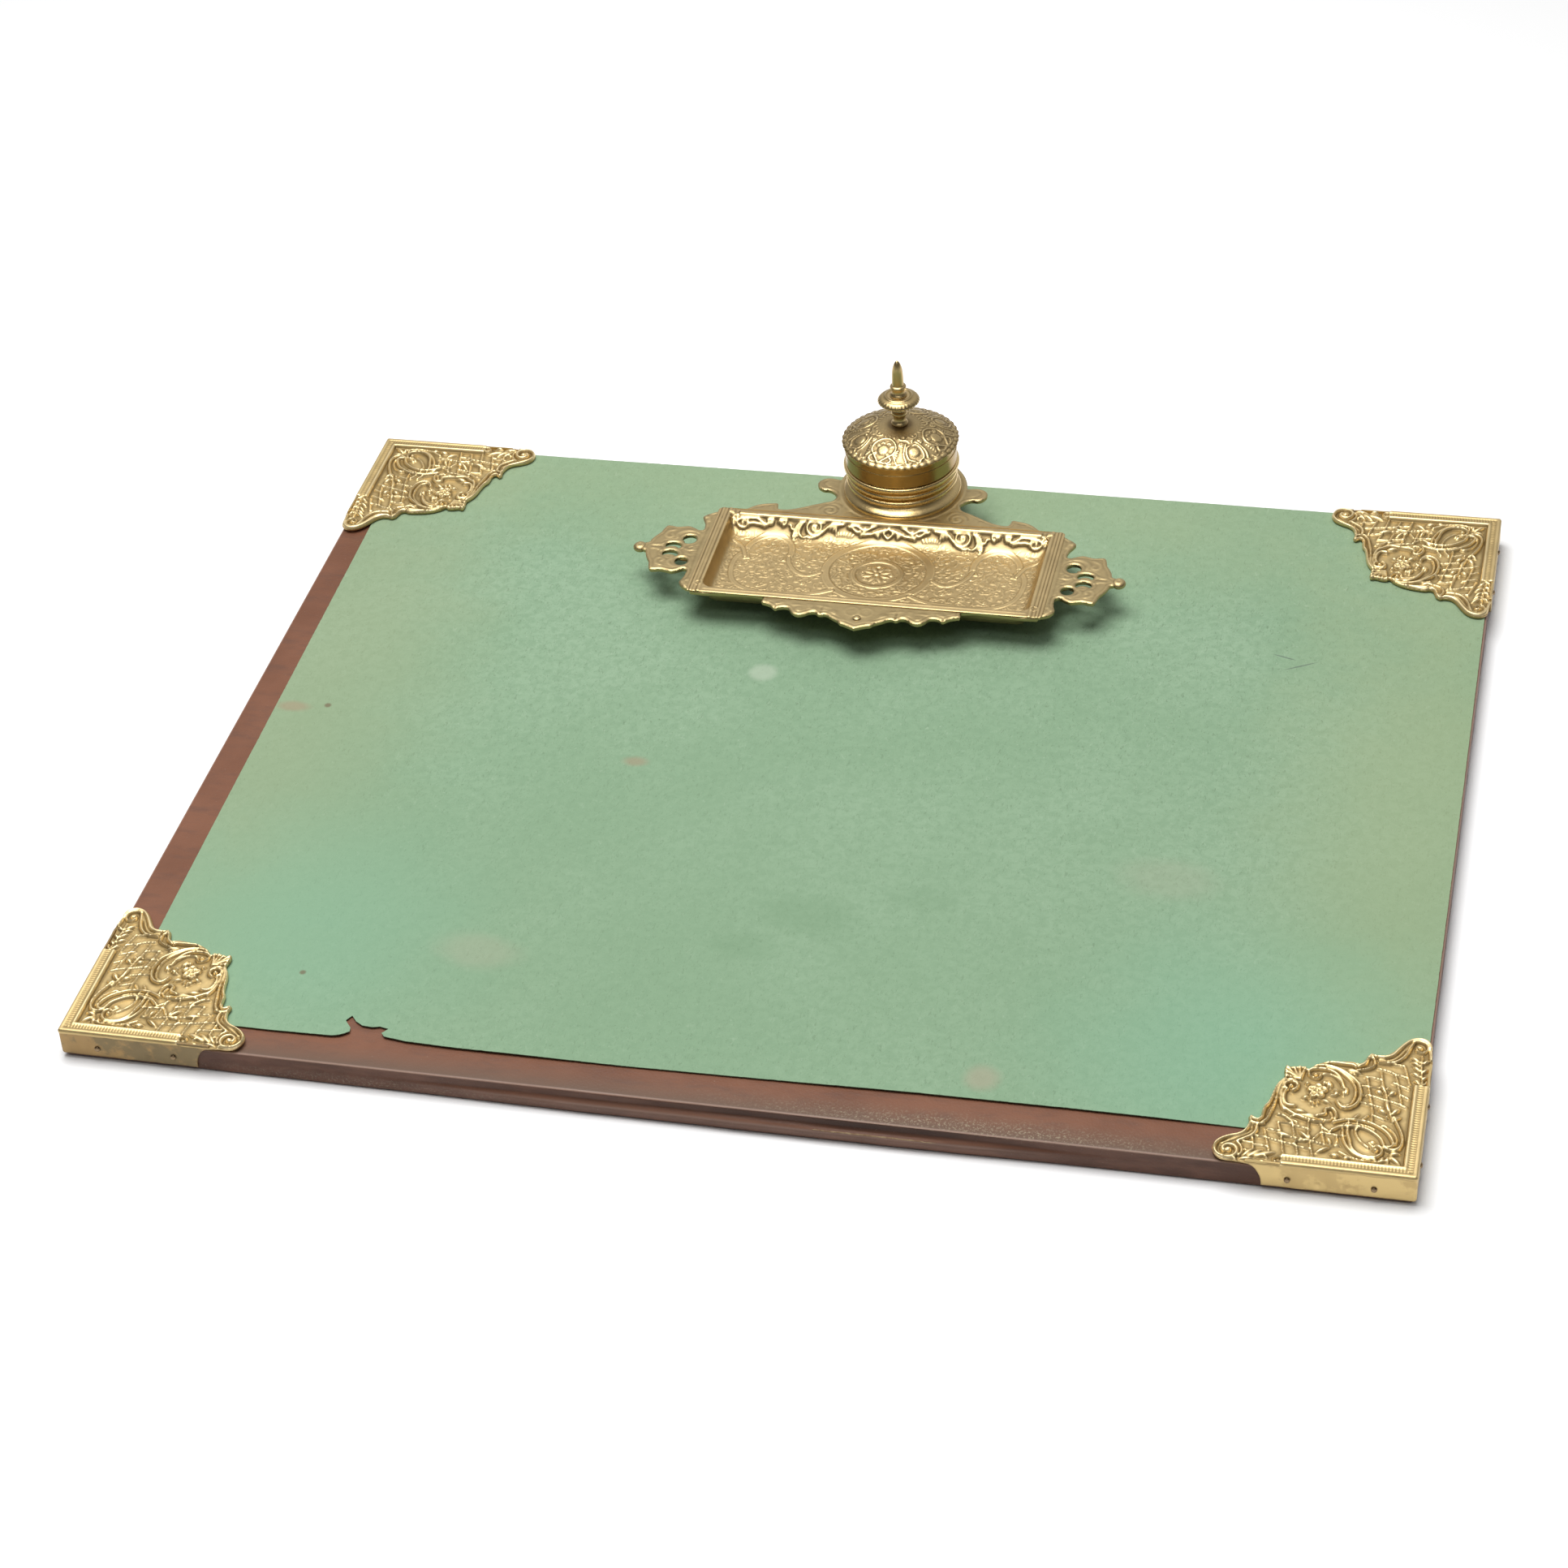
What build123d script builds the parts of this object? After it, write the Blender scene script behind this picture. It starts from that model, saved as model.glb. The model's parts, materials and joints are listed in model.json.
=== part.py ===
from build123d import *
import math
import os

os.makedirs("parts", exist_ok=True)

# ---------------------------------------------------------------- dimensions
# Frame: +X along the front edge to the writer's right, +Y to the back of the
# desk, +Z up.  Origin: centre of the pad's footprint, on the desk.

# pad
PAD_W = 558.8            # over the brass corners, left to right (22 in)
PAD_D = 457.2            # over the brass corners, front to back (18 in)
BRASS_T = 1.2            # wall of the corner's side flanges
LEATHER_W = PAD_W - 2 * BRASS_T
LEATHER_D = PAD_D - 2 * BRASS_T
LEATHER_T = 0.9
LEATHER_TOP = 11.3
TURN_IN = 15.0           # leather folded under the board
CORNER_TOP = 15.0        # upper face of the brass corners
CORNER_UNDER = 12.5      # underside of the corners, above the blotter
FLANGE_LOW = 2.0         # lower edge of the flanges
FLANGE_LEN = 61.0        # length of a flange from the outer corner

# blotting sheet
SHEET_LOW = 11.35
SHEET_TOP = 12.15

# pins in the flanges
PIN_AT = (16.5, 50.0)    # from the outer corner
PIN_Z = 6.2
PIN_R = 0.6
PIN_HEAD_R = 1.25
PIN_HEAD_H = 0.8
PIN_LEN = 9.0

# inkstand: U across, V to the back, centre of the tray at (STAND_X, STAND_Y)
STAND_X = -5.0
STAND_Y = 128.9
PLATE_LOW = 27.0
PLATE_TOP = 29.4
RIM_TOP = 30.2
RIM_U = 84.3
RIM_V0, RIM_V1 = -32.5, 38.0
DISH_U = 78.6            # outside of the dish below the rim
DISH_V0, DISH_V1 = -28.6, 34.1
DISH_LOW = 19.6
DISH_FLOOR = 21.0
DISH_WALL = 1.3
GAP = 0.05               # a foot's clearance over the blotter
BALL_U, BALL_V, BALL_Z, BALL_R = 115.0, 2.0, 28.1, 3.3

# inkwell
WELL_V = 66.6
BASE_TOP = 46.0
BAND_LOW = 46.3
BAND_R = 26.8
BAND_TOP = 57.6
DOME_R = 28.0
DOME_EDGE = 57.5
DOME_H = 9.2
DOME_T = 1.2
HINGE_Y = STAND_Y + 96.1
HINGE_Z = 46.2
KNUCKLE_R = 1.9
HINGE_PIN_R = 0.8
TOP_Z = 101.0


def save(part, name):
    part.label = name
    export_step(part, "parts/" + name + ".step")


def sweep_up(points, z0, z1):
    """Straight-sided solid on a closed outline, from z0 to z1."""
    wire = Polyline(*[(p[0], p[1], z0) for p in points], close=True)
    return extrude(make_face(wire.edges()), z1 - z0, dir=(0, 0, 1))


def smooth(points, n=4):
    """Closed curve through the points, with n pieces to each span."""
    out = []
    m = len(points)
    for i in range(m):
        p0, p1, p2, p3 = (points[(i + k - 1) % m] for k in range(4))
        for j in range(n):
            t = j / n
            out.append(tuple(
                0.5 * (2 * p1[k] + (p2[k] - p0[k]) * t
                       + (2 * p0[k] - 5 * p1[k] + 4 * p2[k] - p3[k]) * t * t
                       + (3 * p1[k] - p0[k] - 3 * p2[k] + p3[k]) * t ** 3)
                for k in range(2)))
    return out


def turned(points, x, y):
    """Solid turned about a vertical axis through (x, y), from (r, z) points."""
    wire = Polyline(*[(p[0], 0, p[1]) for p in points], close=True)
    face = make_face(wire.edges())
    return Pos(x, y, 0) * revolve(face, Axis.Z, 360)


def rounded_box(x0, x1, y0, y1, z0, z1, r_side, r_low=0.0):
    b = Pos((x0 + x1) / 2, (y0 + y1) / 2, (z0 + z1) / 2) * Box(x1 - x0, y1 - y0, z1 - z0)
    b = fillet(b.edges().filter_by(Axis.Z), r_side)
    if r_low:
        b = fillet(b.faces().sort_by(Axis.Z)[0].edges(), r_low)
    return b


def rod(x, y, z, r, length, direction):
    """Round bar that starts at (x, y, z) and runs along direction."""
    return Plane(origin=(x, y, z), z_dir=direction) * Cylinder(
        r, length, align=(Align.CENTER, Align.CENTER, Align.MIN))


# ---------------------------------------------------------------- pad
pin_sites = []           # (x, y, outward direction)
for sx in (-1, 1):
    for sy in (-1, 1):
        for d in PIN_AT:
            pin_sites.append((sx * (PAD_W / 2 - d), sy * PAD_D / 2, (0, sy, 0)))
            pin_sites.append((sx * PAD_W / 2, sy * (PAD_D / 2 - d), (sx, 0, 0)))

pin_holes = None
pins = None
for x, y, n in pin_sites:
    start = (x + n[0] * 0.4, y + n[1] * 0.4, PIN_Z)
    hole = rod(*start, PIN_R + 0.02, PIN_LEN + 0.6, (-n[0], -n[1], 0))
    shank = rod(x, y, PIN_Z, PIN_R, PIN_LEN, (-n[0], -n[1], 0))
    head = Plane(origin=(x, y, PIN_Z), z_dir=n) * revolve(
        make_face(Polyline((0, 0, 0), (PIN_HEAD_R, 0, 0), (PIN_HEAD_R * 0.96, 0, 0.22),
                           (PIN_HEAD_R * 0.72, 0, 0.56), (PIN_HEAD_R * 0.35, 0, 0.75),
                           (0, 0, PIN_HEAD_H), close=True).edges()), Axis.Z, 360)
    pin = shank + head
    pin_holes = hole if pin_holes is None else pin_holes + hole
    pins = [pin] if pins is None else pins + [pin]

leather = Pos(0, 0, LEATHER_TOP / 2) * Box(LEATHER_W, LEATHER_D, LEATHER_TOP)
leather = fillet(leather.edges().filter_by(Axis.Z), 1.2)
leather = fillet(leather.faces().sort_by(Axis.Z)[-1].edges(), 0.7)
board_low, board_top = LEATHER_T, LEATHER_TOP - LEATHER_T
board = Pos(0, 0, (board_low + board_top) / 2) * Box(
    LEATHER_W - 2 * LEATHER_T, LEATHER_D - 2 * LEATHER_T, board_top - board_low)
under = Pos(0, 0, board_low / 2) * Box(
    LEATHER_W - 2 * TURN_IN, LEATHER_D - 2 * TURN_IN, board_low)
leather = leather - board - under
lining = Pos(0, 0, board_low / 2) * Box(
    LEATHER_W - 2 * TURN_IN - 0.1, LEATHER_D - 2 * TURN_IN - 0.1, board_low)
leather = leather - pin_holes
board = board - pin_holes
save(board, "pad_board")
save(leather, "leather_cover")
save(lining, "base_lining")

# Blotting sheet: a hand-cut sheet with slightly bowed edges and a torn notch.
sheet_outline = [
    (-265.4, 226.4), (-264.9, 150), (-263.9, 60), (-262.8, -40), (-261.6, -130),
    (-260.6, -190), (-260.2, -211.6),
    (-225, -211.9), (-185, -211.6), (-163.5, -211.0),
    (-161.5, -206.5), (-157.5, -205.0), (-153.5, -201.2), (-149.0, -199.0),
    (-144.5, -200.8), (-142.6, -205.2), (-140.6, -210.3),
    (-100, -211.4), (-40, -211.0), (20, -209.8), (80, -208.5), (140, -207.9),
    (210, -207.8), (277.0, -207.6),
    (277.4, -100), (277.5, 20), (277.3, 130), (277.0, 226.8),
    (150, 227.0), (20, 227.2), (-120, 227.0),
]
sheet = sweep_up(sheet_outline, SHEET_LOW, SHEET_TOP)
save(sheet, "blotting_sheet")

# Brass corner, drawn for the front right: a runs left from the outer corner,
# b runs back from it.
corner_edge = [
    (71.2, 0.6), (74.0, 0.5), (76.6, 1.1), (78.8, 3.0), (79.9, 6.0), (79.5, 9.0),
    (77.6, 11.7), (74.2, 13.8), (71.2, 15.2), (69.2, 17.0), (68.1, 19.8), (67.6, 22.4),
    (67.9, 25.6), (66.9, 26.5), (65.7, 25.8), (64.6, 25.1), (63.6, 26.4), (63.3, 29.6),
    (62.9, 32.2), (61.8, 34.2), (60.9, 38.0), (60.1, 43.0), (59.0, 46.3), (57.4, 49.1),
    (56.9, 51.0), (57.3, 53.8), (56.9, 56.9), (54.4, 56.6), (51.8, 57.4), (49.2, 57.4),
    (48.0, 56.5), (46.2, 58.4), (43.4, 60.4), (39.6, 62.0), (35.1, 62.9), (30.8, 63.3),
    (28.8, 62.7), (27.4, 63.3), (26.3, 65.6), (25.6, 67.8), (23.8, 69.2), (21.8, 68.7),
    (19.0, 69.0), (16.8, 70.7), (15.0, 73.4), (12.9, 76.8), (10.6, 79.5), (7.9, 81.1),
    (5.1, 81.4), (2.9, 80.5), (1.2, 78.3), (0.7, 74.0), (0.3, 70.0),
]
corner_poly = [(p[0], p[1]) for p in corner_edge] + [(0.0, 68.0), (0.0, 0.0), (68.0, 0.0)]


def corner(sx, sy):
    def place(a, b):
        return (sx * (PAD_W / 2 - a), sy * (PAD_D / 2 - b))
    pts = [place(a, b) for a, b in corner_poly]
    if sx * sy < 0:
        pts = pts[::-1]
    plate = sweep_up(pts, CORNER_UNDER, CORNER_TOP)
    # Side flanges: each ends in a quarter round under the volute.
    r = CORNER_UNDER - FLANGE_LOW
    prof = [(0.0, 0.0), (FLANGE_LEN, 0.0)]
    prof += [(FLANGE_LEN - 6.5 * math.sin(math.radians(t)), -r * (1 - math.cos(math.radians(t))))
             for t in (15, 30, 45, 60, 75, 90)]
    prof += [(0.0, -r)]
    f1 = make_face(Polyline(*[(place(a, 0)[0], place(a, 0)[1], CORNER_UNDER + h)
                              for a, h in prof], close=True).edges())
    f1 = extrude(f1, BRASS_T, dir=(0, -sy, 0))
    f2 = make_face(Polyline(*[(place(0, b)[0], place(0, b)[1], CORNER_UNDER + h)
                              for b, h in prof], close=True).edges())
    f2 = extrude(f2, BRASS_T, dir=(-sx, 0, 0))
    body = plate + f1 + f2
    return body - pin_holes


for name, sx, sy in (("front_left", -1, -1), ("front_right", 1, -1),
                     ("rear_left", -1, 1), ("rear_right", 1, 1)):
    save(corner(sx, sy), "corner_" + name)
save(Compound(children=pins), "corner_pins")

# ---------------------------------------------------------------- inkstand
def uv(points):
    return [(STAND_X + p[0], STAND_Y + p[1]) for p in points]


half_edge = [
    (0.0, -51.0), (3.0, -49.5), (5.2, -48.4), (7.4, -47.6), (8.6, -46.1), (12.0, -43.9),
    (15.5, -41.7), (17.8, -42.3), (19.0, -41.9), (20.5, -40.6), (22.5, -40.9), (25.0, -42.7),
    (27.5, -43.7), (30.0, -43.1), (32.0, -41.0), (33.5, -38.8), (36.0, -38.5), (38.0, -39.2),
    (39.3, -40.1), (40.6, -39.5), (42.5, -37.7), (45.0, -36.6), (47.0, -35.9), (47.1, -32.2),
    (82.3, -32.2), (83.0, -30.6), (85.8, -29.4), (88.2, -27.2), (89.2, -25.0), (88.5, -22.4),
    (87.9, -19.5), (87.9, -15.2), (89.6, -14.2), (92.2, -15.7), (95.2, -17.1), (98.2, -16.4),
    (101.0, -15.9), (103.5, -16.5), (105.8, -16.5), (106.9, -14.0), (107.7, -10.5),
    (109.3, -7.6), (110.6, -4.6), (111.6, -1.4), (113.2, -0.8), (113.2, 4.8), (111.6, 5.4),
    (110.6, 8.6), (109.3, 11.6),
    (107.7, 14.5), (106.9, 18.0), (105.8, 20.4), (103.5, 20.4), (101.0, 19.9), (98.2, 20.5),
    (95.2, 21.1), (92.2, 19.8), (89.6, 18.4), (87.9, 19.2), (88.0, 22.6), (88.7, 25.2),
    (90.0, 28.0), (90.6, 30.0), (88.6, 32.4), (85.6, 34.2), (82.6, 37.2), (79.0, 38.8),
    (71.6, 39.4), (69.6, 41.2), (67.0, 43.4), (64.0, 44.8), (60.6, 45.6), (57.4, 45.9),
    (56.8, 43.4), (56.0, 41.4), (53.0, 41.2), (49.4, 42.1), (45.0, 44.2), (40.0, 47.1),
    (35.4, 49.5), (31.8, 51.4), (30.6, 53.6), (30.4, 55.8), (31.6, 57.8), (33.0, 59.4),
    (35.2, 60.6), (38.0, 60.6), (40.4, 62.2), (41.6, 64.8), (41.4, 67.6), (39.6, 69.8),
    (37.0, 70.8), (34.0, 70.6), (31.4, 70.0),
]
WELL_PLATE_R = 31.3
arc0 = math.atan2(70.0 - WELL_V, 31.0)
half_edge += [(WELL_PLATE_R * math.cos(t), WELL_V + WELL_PLATE_R * math.sin(t))
              for t in [arc0 + 0.03 + (math.pi / 2 - arc0 - 0.03) * i / 14 for i in range(15)]]
full_edge = half_edge + [(-p[0], p[1]) for p in half_edge[-2:0:-1]]

plate = sweep_up(uv(full_edge), PLATE_LOW, PLATE_TOP)
plate -= rounded_box(STAND_X - DISH_U - 0.2, STAND_X + DISH_U + 0.2,
                     STAND_Y + DISH_V0 - 0.2, STAND_Y + DISH_V1 + 0.2,
                     PLATE_LOW - 1, PLATE_TOP + 1, 7.2)
for s in (-1, 1):
    for u, v in ((93.5, 12.2), (93.5, -8.0)):      # round finger-grip piercings
        plate -= Pos(STAND_X + s * u, STAND_Y + v, 0) * Cylinder(2.7, 100)
    for u, v in ((100.3, 5.8), (100.3, -1.6)):     # crescent piercings
        plate -= Pos(STAND_X + s * u, STAND_Y + v, 0) * extrude(
            SlotOverall(6.8, 4.2), 60)
    ball = Pos(STAND_X + s * BALL_U, STAND_Y + BALL_V, BALL_Z) * Sphere(BALL_R)
    plate += ball

# Tray: a cast dish whose rim lies on the plate.
rim = rounded_box(STAND_X - RIM_U, STAND_X + RIM_U, STAND_Y + RIM_V0, STAND_Y + RIM_V1,
                  PLATE_TOP, RIM_TOP, 2.2)
dish = rounded_box(STAND_X - DISH_U, STAND_X + DISH_U, STAND_Y + DISH_V0, STAND_Y + DISH_V1,
                   DISH_LOW, RIM_TOP, 7.0, 5.0)
hollow = rounded_box(STAND_X - DISH_U + DISH_WALL, STAND_X + DISH_U - DISH_WALL,
                     STAND_Y + DISH_V0 + DISH_WALL, STAND_Y + DISH_V1 - DISH_WALL,
                     DISH_FLOOR, RIM_TOP + 5, 5.7, 4.2)
tray = rim + dish - hollow

# Rivets from below through the plate into the tray's rim.
rivets = []
for s in (-1, 1):
    for v in (-24.0, 29.5):
        x, y = STAND_X + s * 81.4, STAND_Y + v
        rivets.append(Pos(x, y, 0) * (rod(0, 0, PLATE_LOW, 0.9, 2.9, (0, 0, 1))
                                      + rod(0, 0, PLATE_LOW - 0.7, 1.7, 0.7, (0, 0, 1))))
        hole = rod(x, y, PLATE_LOW - 1, 0.92, 3.92, (0, 0, 1))
        plate -= hole
        tray -= hole
save(Compound(children=rivets), "tray_rivets")

# Feet: turned buns, the short front pair under the dish, the tall back pair
# under the plate.
sheet_top = SHEET_TOP + GAP
front_feet_at = [(s * 68.0, 2.0) for s in (-1, 1)]
rear_feet_at = [(s * 19.0, 82.0) for s in (-1, 1)]


def foot(x, y, top):
    h = top - sheet_top
    pts = [(1.05, sheet_top), (4.2, sheet_top), (5.3, sheet_top + 0.14 * h),
           (5.8, sheet_top + 0.32 * h), (5.4, sheet_top + 0.5 * h), (4.0, sheet_top + 0.66 * h),
           (3.5, sheet_top + 0.76 * h), (4.6, sheet_top + 0.86 * h), (4.9, top), (1.05, top)]
    return turned(pts, x, y)


feet = [foot(STAND_X + u, STAND_Y + v, DISH_LOW) for u, v in front_feet_at]
feet += [foot(STAND_X + u, STAND_Y + v, PLATE_LOW) for u, v in rear_feet_at]
screws = []
for (u, v), top in [(p, DISH_FLOOR) for p in front_feet_at] + [(p, PLATE_TOP) for p in rear_feet_at]:
    x, y = STAND_X + u, STAND_Y + v
    screws.append(rod(x, y, sheet_top + 0.8, 1.0, top - 0.2 - sheet_top - 0.8, (0, 0, 1)))
    hole = rod(x, y, sheet_top, 1.03, top - 0.15 - sheet_top, (0, 0, 1))
    plate -= hole
    tray -= hole
save(Compound(children=feet), "stand_feet")
save(Compound(children=screws), "foot_screws")

# Rivet in the middle of the apron.
rx, ry = STAND_X, STAND_Y - 43.2
rivet = rod(rx, ry, PLATE_LOW - 0.6, 1.0, PLATE_TOP - PLATE_LOW + 0.6, (0, 0, 1))
rivet += rod(rx, ry, PLATE_LOW - 1.2, 2.0, 1.2, (0, 0, 1))
rivet += Pos(rx, ry, PLATE_TOP) * revolve(
    make_face(Polyline((0, 0, 0), (1.9, 0, 0), (1.7, 0, 0.35), (1.0, 0, 0.7), (0, 0, 0.85),
                       close=True).edges()), Axis.Z, 360)
plate -= rod(rx, ry, PLATE_LOW - 1, 1.02, 5, (0, 0, 1))
save(rivet, "apron_rivet")

# ---------------------------------------------------------------- inkwell
WX, WY = STAND_X, STAND_Y + WELL_V
base = turned([
    (2.1, PLATE_TOP), (28.3, PLATE_TOP), (28.3, 30.9), (27.4, 32.0), (26.2, 33.0), (25.5, 34.0),
    (25.3, 34.8), (25.9, 35.6), (26.25, 36.5), (25.9, 37.4), (25.1, 38.2), (25.1, 38.9),
    (25.9, 39.5), (26.2, 40.2), (26.0, 41.0), (26.1, 42.4), (26.8, 43.2), (27.6, 43.7),
    (27.9, 44.6), (27.75, 45.5), (27.1, BASE_TOP), (23.8, BASE_TOP), (23.8, 31.0), (2.1, 31.0)],
    WX, WY)
save(base, "inkwell_base")

# Stud and nut that hold the well to the plate.
stud = rod(WX, WY, 23.9, 2.0, 31.0 - 23.9, (0, 0, 1)) + rod(WX, WY, 31.0, 4.5, 1.3, (0, 0, 1))
nut = Pos(WX, WY, 24.6) * extrude(RegularPolygon(4.0, 6), PLATE_LOW - 24.6)
nut -= rod(WX, WY, 24, 2.03, 5, (0, 0, 1))
plate -= rod(WX, WY, PLATE_LOW - 1, 2.1, 5, (0, 0, 1))
save(stud, "inkwell_stud")
save(nut, "inkwell_nut")
save(plate, "stand_plate")
save(tray, "pen_tray")

# Porcelain ink cup: a rounded shoulder and a flared mouth, standing on the
# floor of the well over the head of the stud.
cup = turned([
    (6.0, 31.1), (20.6, 31.1), (22.4, 31.8), (23.3, 33.4), (23.3, 43.0), (23.5, 44.6),
    (23.3, 45.5), (22.4, 45.8), (19.0, 45.6), (16.6, 44.9), (14.6, 43.6), (13.6, 42.2),
    (13.7, 41.2), (16.4, 40.4), (18.6, 39.0), (19.4, 37.2), (19.2, 35.6), (17.6, 34.4),
    (0.0, 34.2), (0.0, 32.7), (6.0, 32.7)], WX, WY)
save(cup, "ink_cup")

# Hinge at the back of the well.
hinge = (WX, HINGE_Y, HINGE_Z)
body_leaf = None
for s in (-1, 1):
    k = Pos(WX + s * 5.6, HINGE_Y, HINGE_Z) * Rot(0, 90, 0) * Cylinder(KNUCKLE_R, 5.0)
    web = Pos(WX + s * 5.6, HINGE_Y - 1.8, HINGE_Z - 2.1) * Box(5.0, 5.4, 3.0)
    body_leaf = (k + web) if body_leaf is None else body_leaf + k + web
body_leaf += Pos(WX, HINGE_Y - 1.3, HINGE_Z - 3.1) * Box(16.2, 4.4, 1.6)
body_leaf -= Pos(WX, WY, 0) * Cylinder(27.95, 200)
body_leaf -= Pos(WX, HINGE_Y, HINGE_Z) * Rot(0, 90, 0) * Cylinder(HINGE_PIN_R + 0.02, 40)
save(body_leaf, "hinge_leaf_well")
lid_leaf = Pos(WX, HINGE_Y, HINGE_Z) * Rot(0, 90, 0) * Cylinder(KNUCKLE_R, 5.6)
lid_leaf += Pos(WX, HINGE_Y - 1.9, HINGE_Z + 1.6) * Box(5.6, 4.4, 1.4)
lid_leaf += Pos(WX, HINGE_Y - 2.0, HINGE_Z + 4.4) * Box(5.6, 2.6, 5.0)
lid_leaf -= Pos(WX, WY, 0) * Cylinder(BAND_R + 0.02, 200)
lid_leaf -= Pos(WX, HINGE_Y, HINGE_Z) * Rot(0, 90, 0) * Cylinder(HINGE_PIN_R + 0.07, 40)
save(lid_leaf, "hinge_leaf_lid")
pin = Pos(WX, HINGE_Y, HINGE_Z) * Rot(0, 90, 0) * Cylinder(HINGE_PIN_R, 16.6)
for s in (-1, 1):
    pin += Pos(WX + s * 8.6, HINGE_Y, HINGE_Z) * Rot(0, 90, 0) * Cylinder(1.15, 0.6)
save(pin, "hinge_pin")

# Lid: plain polished band, embossed dome and a turned finial.
band = turned([
    (25.4, BAND_LOW), (BAND_R, BAND_LOW), (BAND_R, 53.2), (BAND_R - 0.35, 53.7),
    (BAND_R - 0.35, BAND_TOP), (24.4, BAND_TOP), (24.4, BAND_TOP - 1.0), (25.4, BAND_TOP - 1.6)],
    WX, WY)
save(band, "lid_band")


def dome_z(r):
    return DOME_EDGE + 0.3 + (DOME_H - 0.3) * (1 - (r / DOME_R) ** 2.2)


steps = [2.06, 4, 8, 12, 16, 20, 23, 25.5, 27.2]
outer = [(r, dome_z(r)) for r in steps] + [(DOME_R, DOME_EDGE + 0.55), (DOME_R, BAND_TOP + 0.02)]
inner = [(24.2, BAND_TOP + 0.02)] + [(r, dome_z(r) - DOME_T) for r in (23.4, 20, 16, 12, 8, 4, 2.06)]
dome = turned(outer + inner, WX, WY)
save(dome, "lid_dome")

stem_foot = 66.72
stem = turned([
    (0, 62.3), (2.0, 62.3), (2.0, stem_foot), (3.9, stem_foot), (4.0, 67.3), (3.5, 67.9),
    (3.0, 68.8), (2.9, 70.0), (3.1, 70.9), (3.75, 71.5), (3.86, 72.3), (3.7, 73.1), (3.05, 73.7),
    (2.8, 74.8), (2.9, 76.4), (3.5, 77.9), (4.4, 78.8), (1.9, 78.8), (1.9, 84.4), (0, 84.4)], WX, WY)
save(stem, "finial_stem")
knob_nut = Pos(WX, WY, 63.1) * extrude(RegularPolygon(3.8, 6), dome_z(4.2) - DOME_T - 63.12)
knob_nut -= rod(WX, WY, 60, 2.03, 10, (0, 0, 1))
save(knob_nut, "finial_nut")
disc = turned([
    (1.93, 78.82), (4.4, 78.82), (7.6, 79.0), (9.6, 79.4), (10.1, 79.9), (9.8, 80.5),
    (8.0, 81.3), (6.4, 82.0), (6.1, 82.3), (5.6, 82.2), (5.0, 82.0), (1.93, 82.0)], WX, WY)
save(disc, "finial_disc")
spike = turned([
    (1.93, 82.02), (3.9, 82.02), (4.1, 82.6), (3.7, 83.3), (3.2, 84.0), (3.1, 85.2), (3.3, 85.8),
    (3.8, 86.2), (3.85, 86.9), (3.6, 87.5), (2.8, 87.8), (2.77, 90.0), (2.65, 93.0), (2.4, 95.6),
    (1.9, 98.0), (1.3, 99.6), (0.6, 100.7), (0, TOP_Z), (0, 84.6), (1.93, 84.6)], WX, WY)
save(spike, "finial_spike")

print("hinge axis", hinge)
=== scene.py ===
import json
import math

import bpy
import numpy as np
from mathutils import Matrix, Vector
from mathutils.geometry import delaunay_2d_cdt

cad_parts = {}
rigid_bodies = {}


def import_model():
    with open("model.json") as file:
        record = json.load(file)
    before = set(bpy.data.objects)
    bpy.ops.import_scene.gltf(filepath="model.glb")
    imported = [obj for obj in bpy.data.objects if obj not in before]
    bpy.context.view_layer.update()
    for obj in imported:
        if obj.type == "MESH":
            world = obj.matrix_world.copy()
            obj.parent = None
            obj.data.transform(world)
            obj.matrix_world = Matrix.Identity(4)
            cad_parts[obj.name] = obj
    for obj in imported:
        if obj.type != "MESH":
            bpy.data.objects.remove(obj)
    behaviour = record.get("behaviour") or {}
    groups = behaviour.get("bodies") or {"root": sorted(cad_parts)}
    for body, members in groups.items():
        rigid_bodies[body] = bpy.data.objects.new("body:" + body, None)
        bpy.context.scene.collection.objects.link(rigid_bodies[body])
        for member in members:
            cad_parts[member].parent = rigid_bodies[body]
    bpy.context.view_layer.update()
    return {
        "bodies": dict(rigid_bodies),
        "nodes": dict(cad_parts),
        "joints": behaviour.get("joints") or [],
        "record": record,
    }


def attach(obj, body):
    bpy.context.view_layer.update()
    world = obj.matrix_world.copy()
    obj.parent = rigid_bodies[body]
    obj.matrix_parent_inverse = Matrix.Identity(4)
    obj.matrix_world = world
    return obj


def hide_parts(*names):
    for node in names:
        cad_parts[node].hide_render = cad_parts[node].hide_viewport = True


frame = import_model()
scene = bpy.context.scene
MM = 0.001


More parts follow.
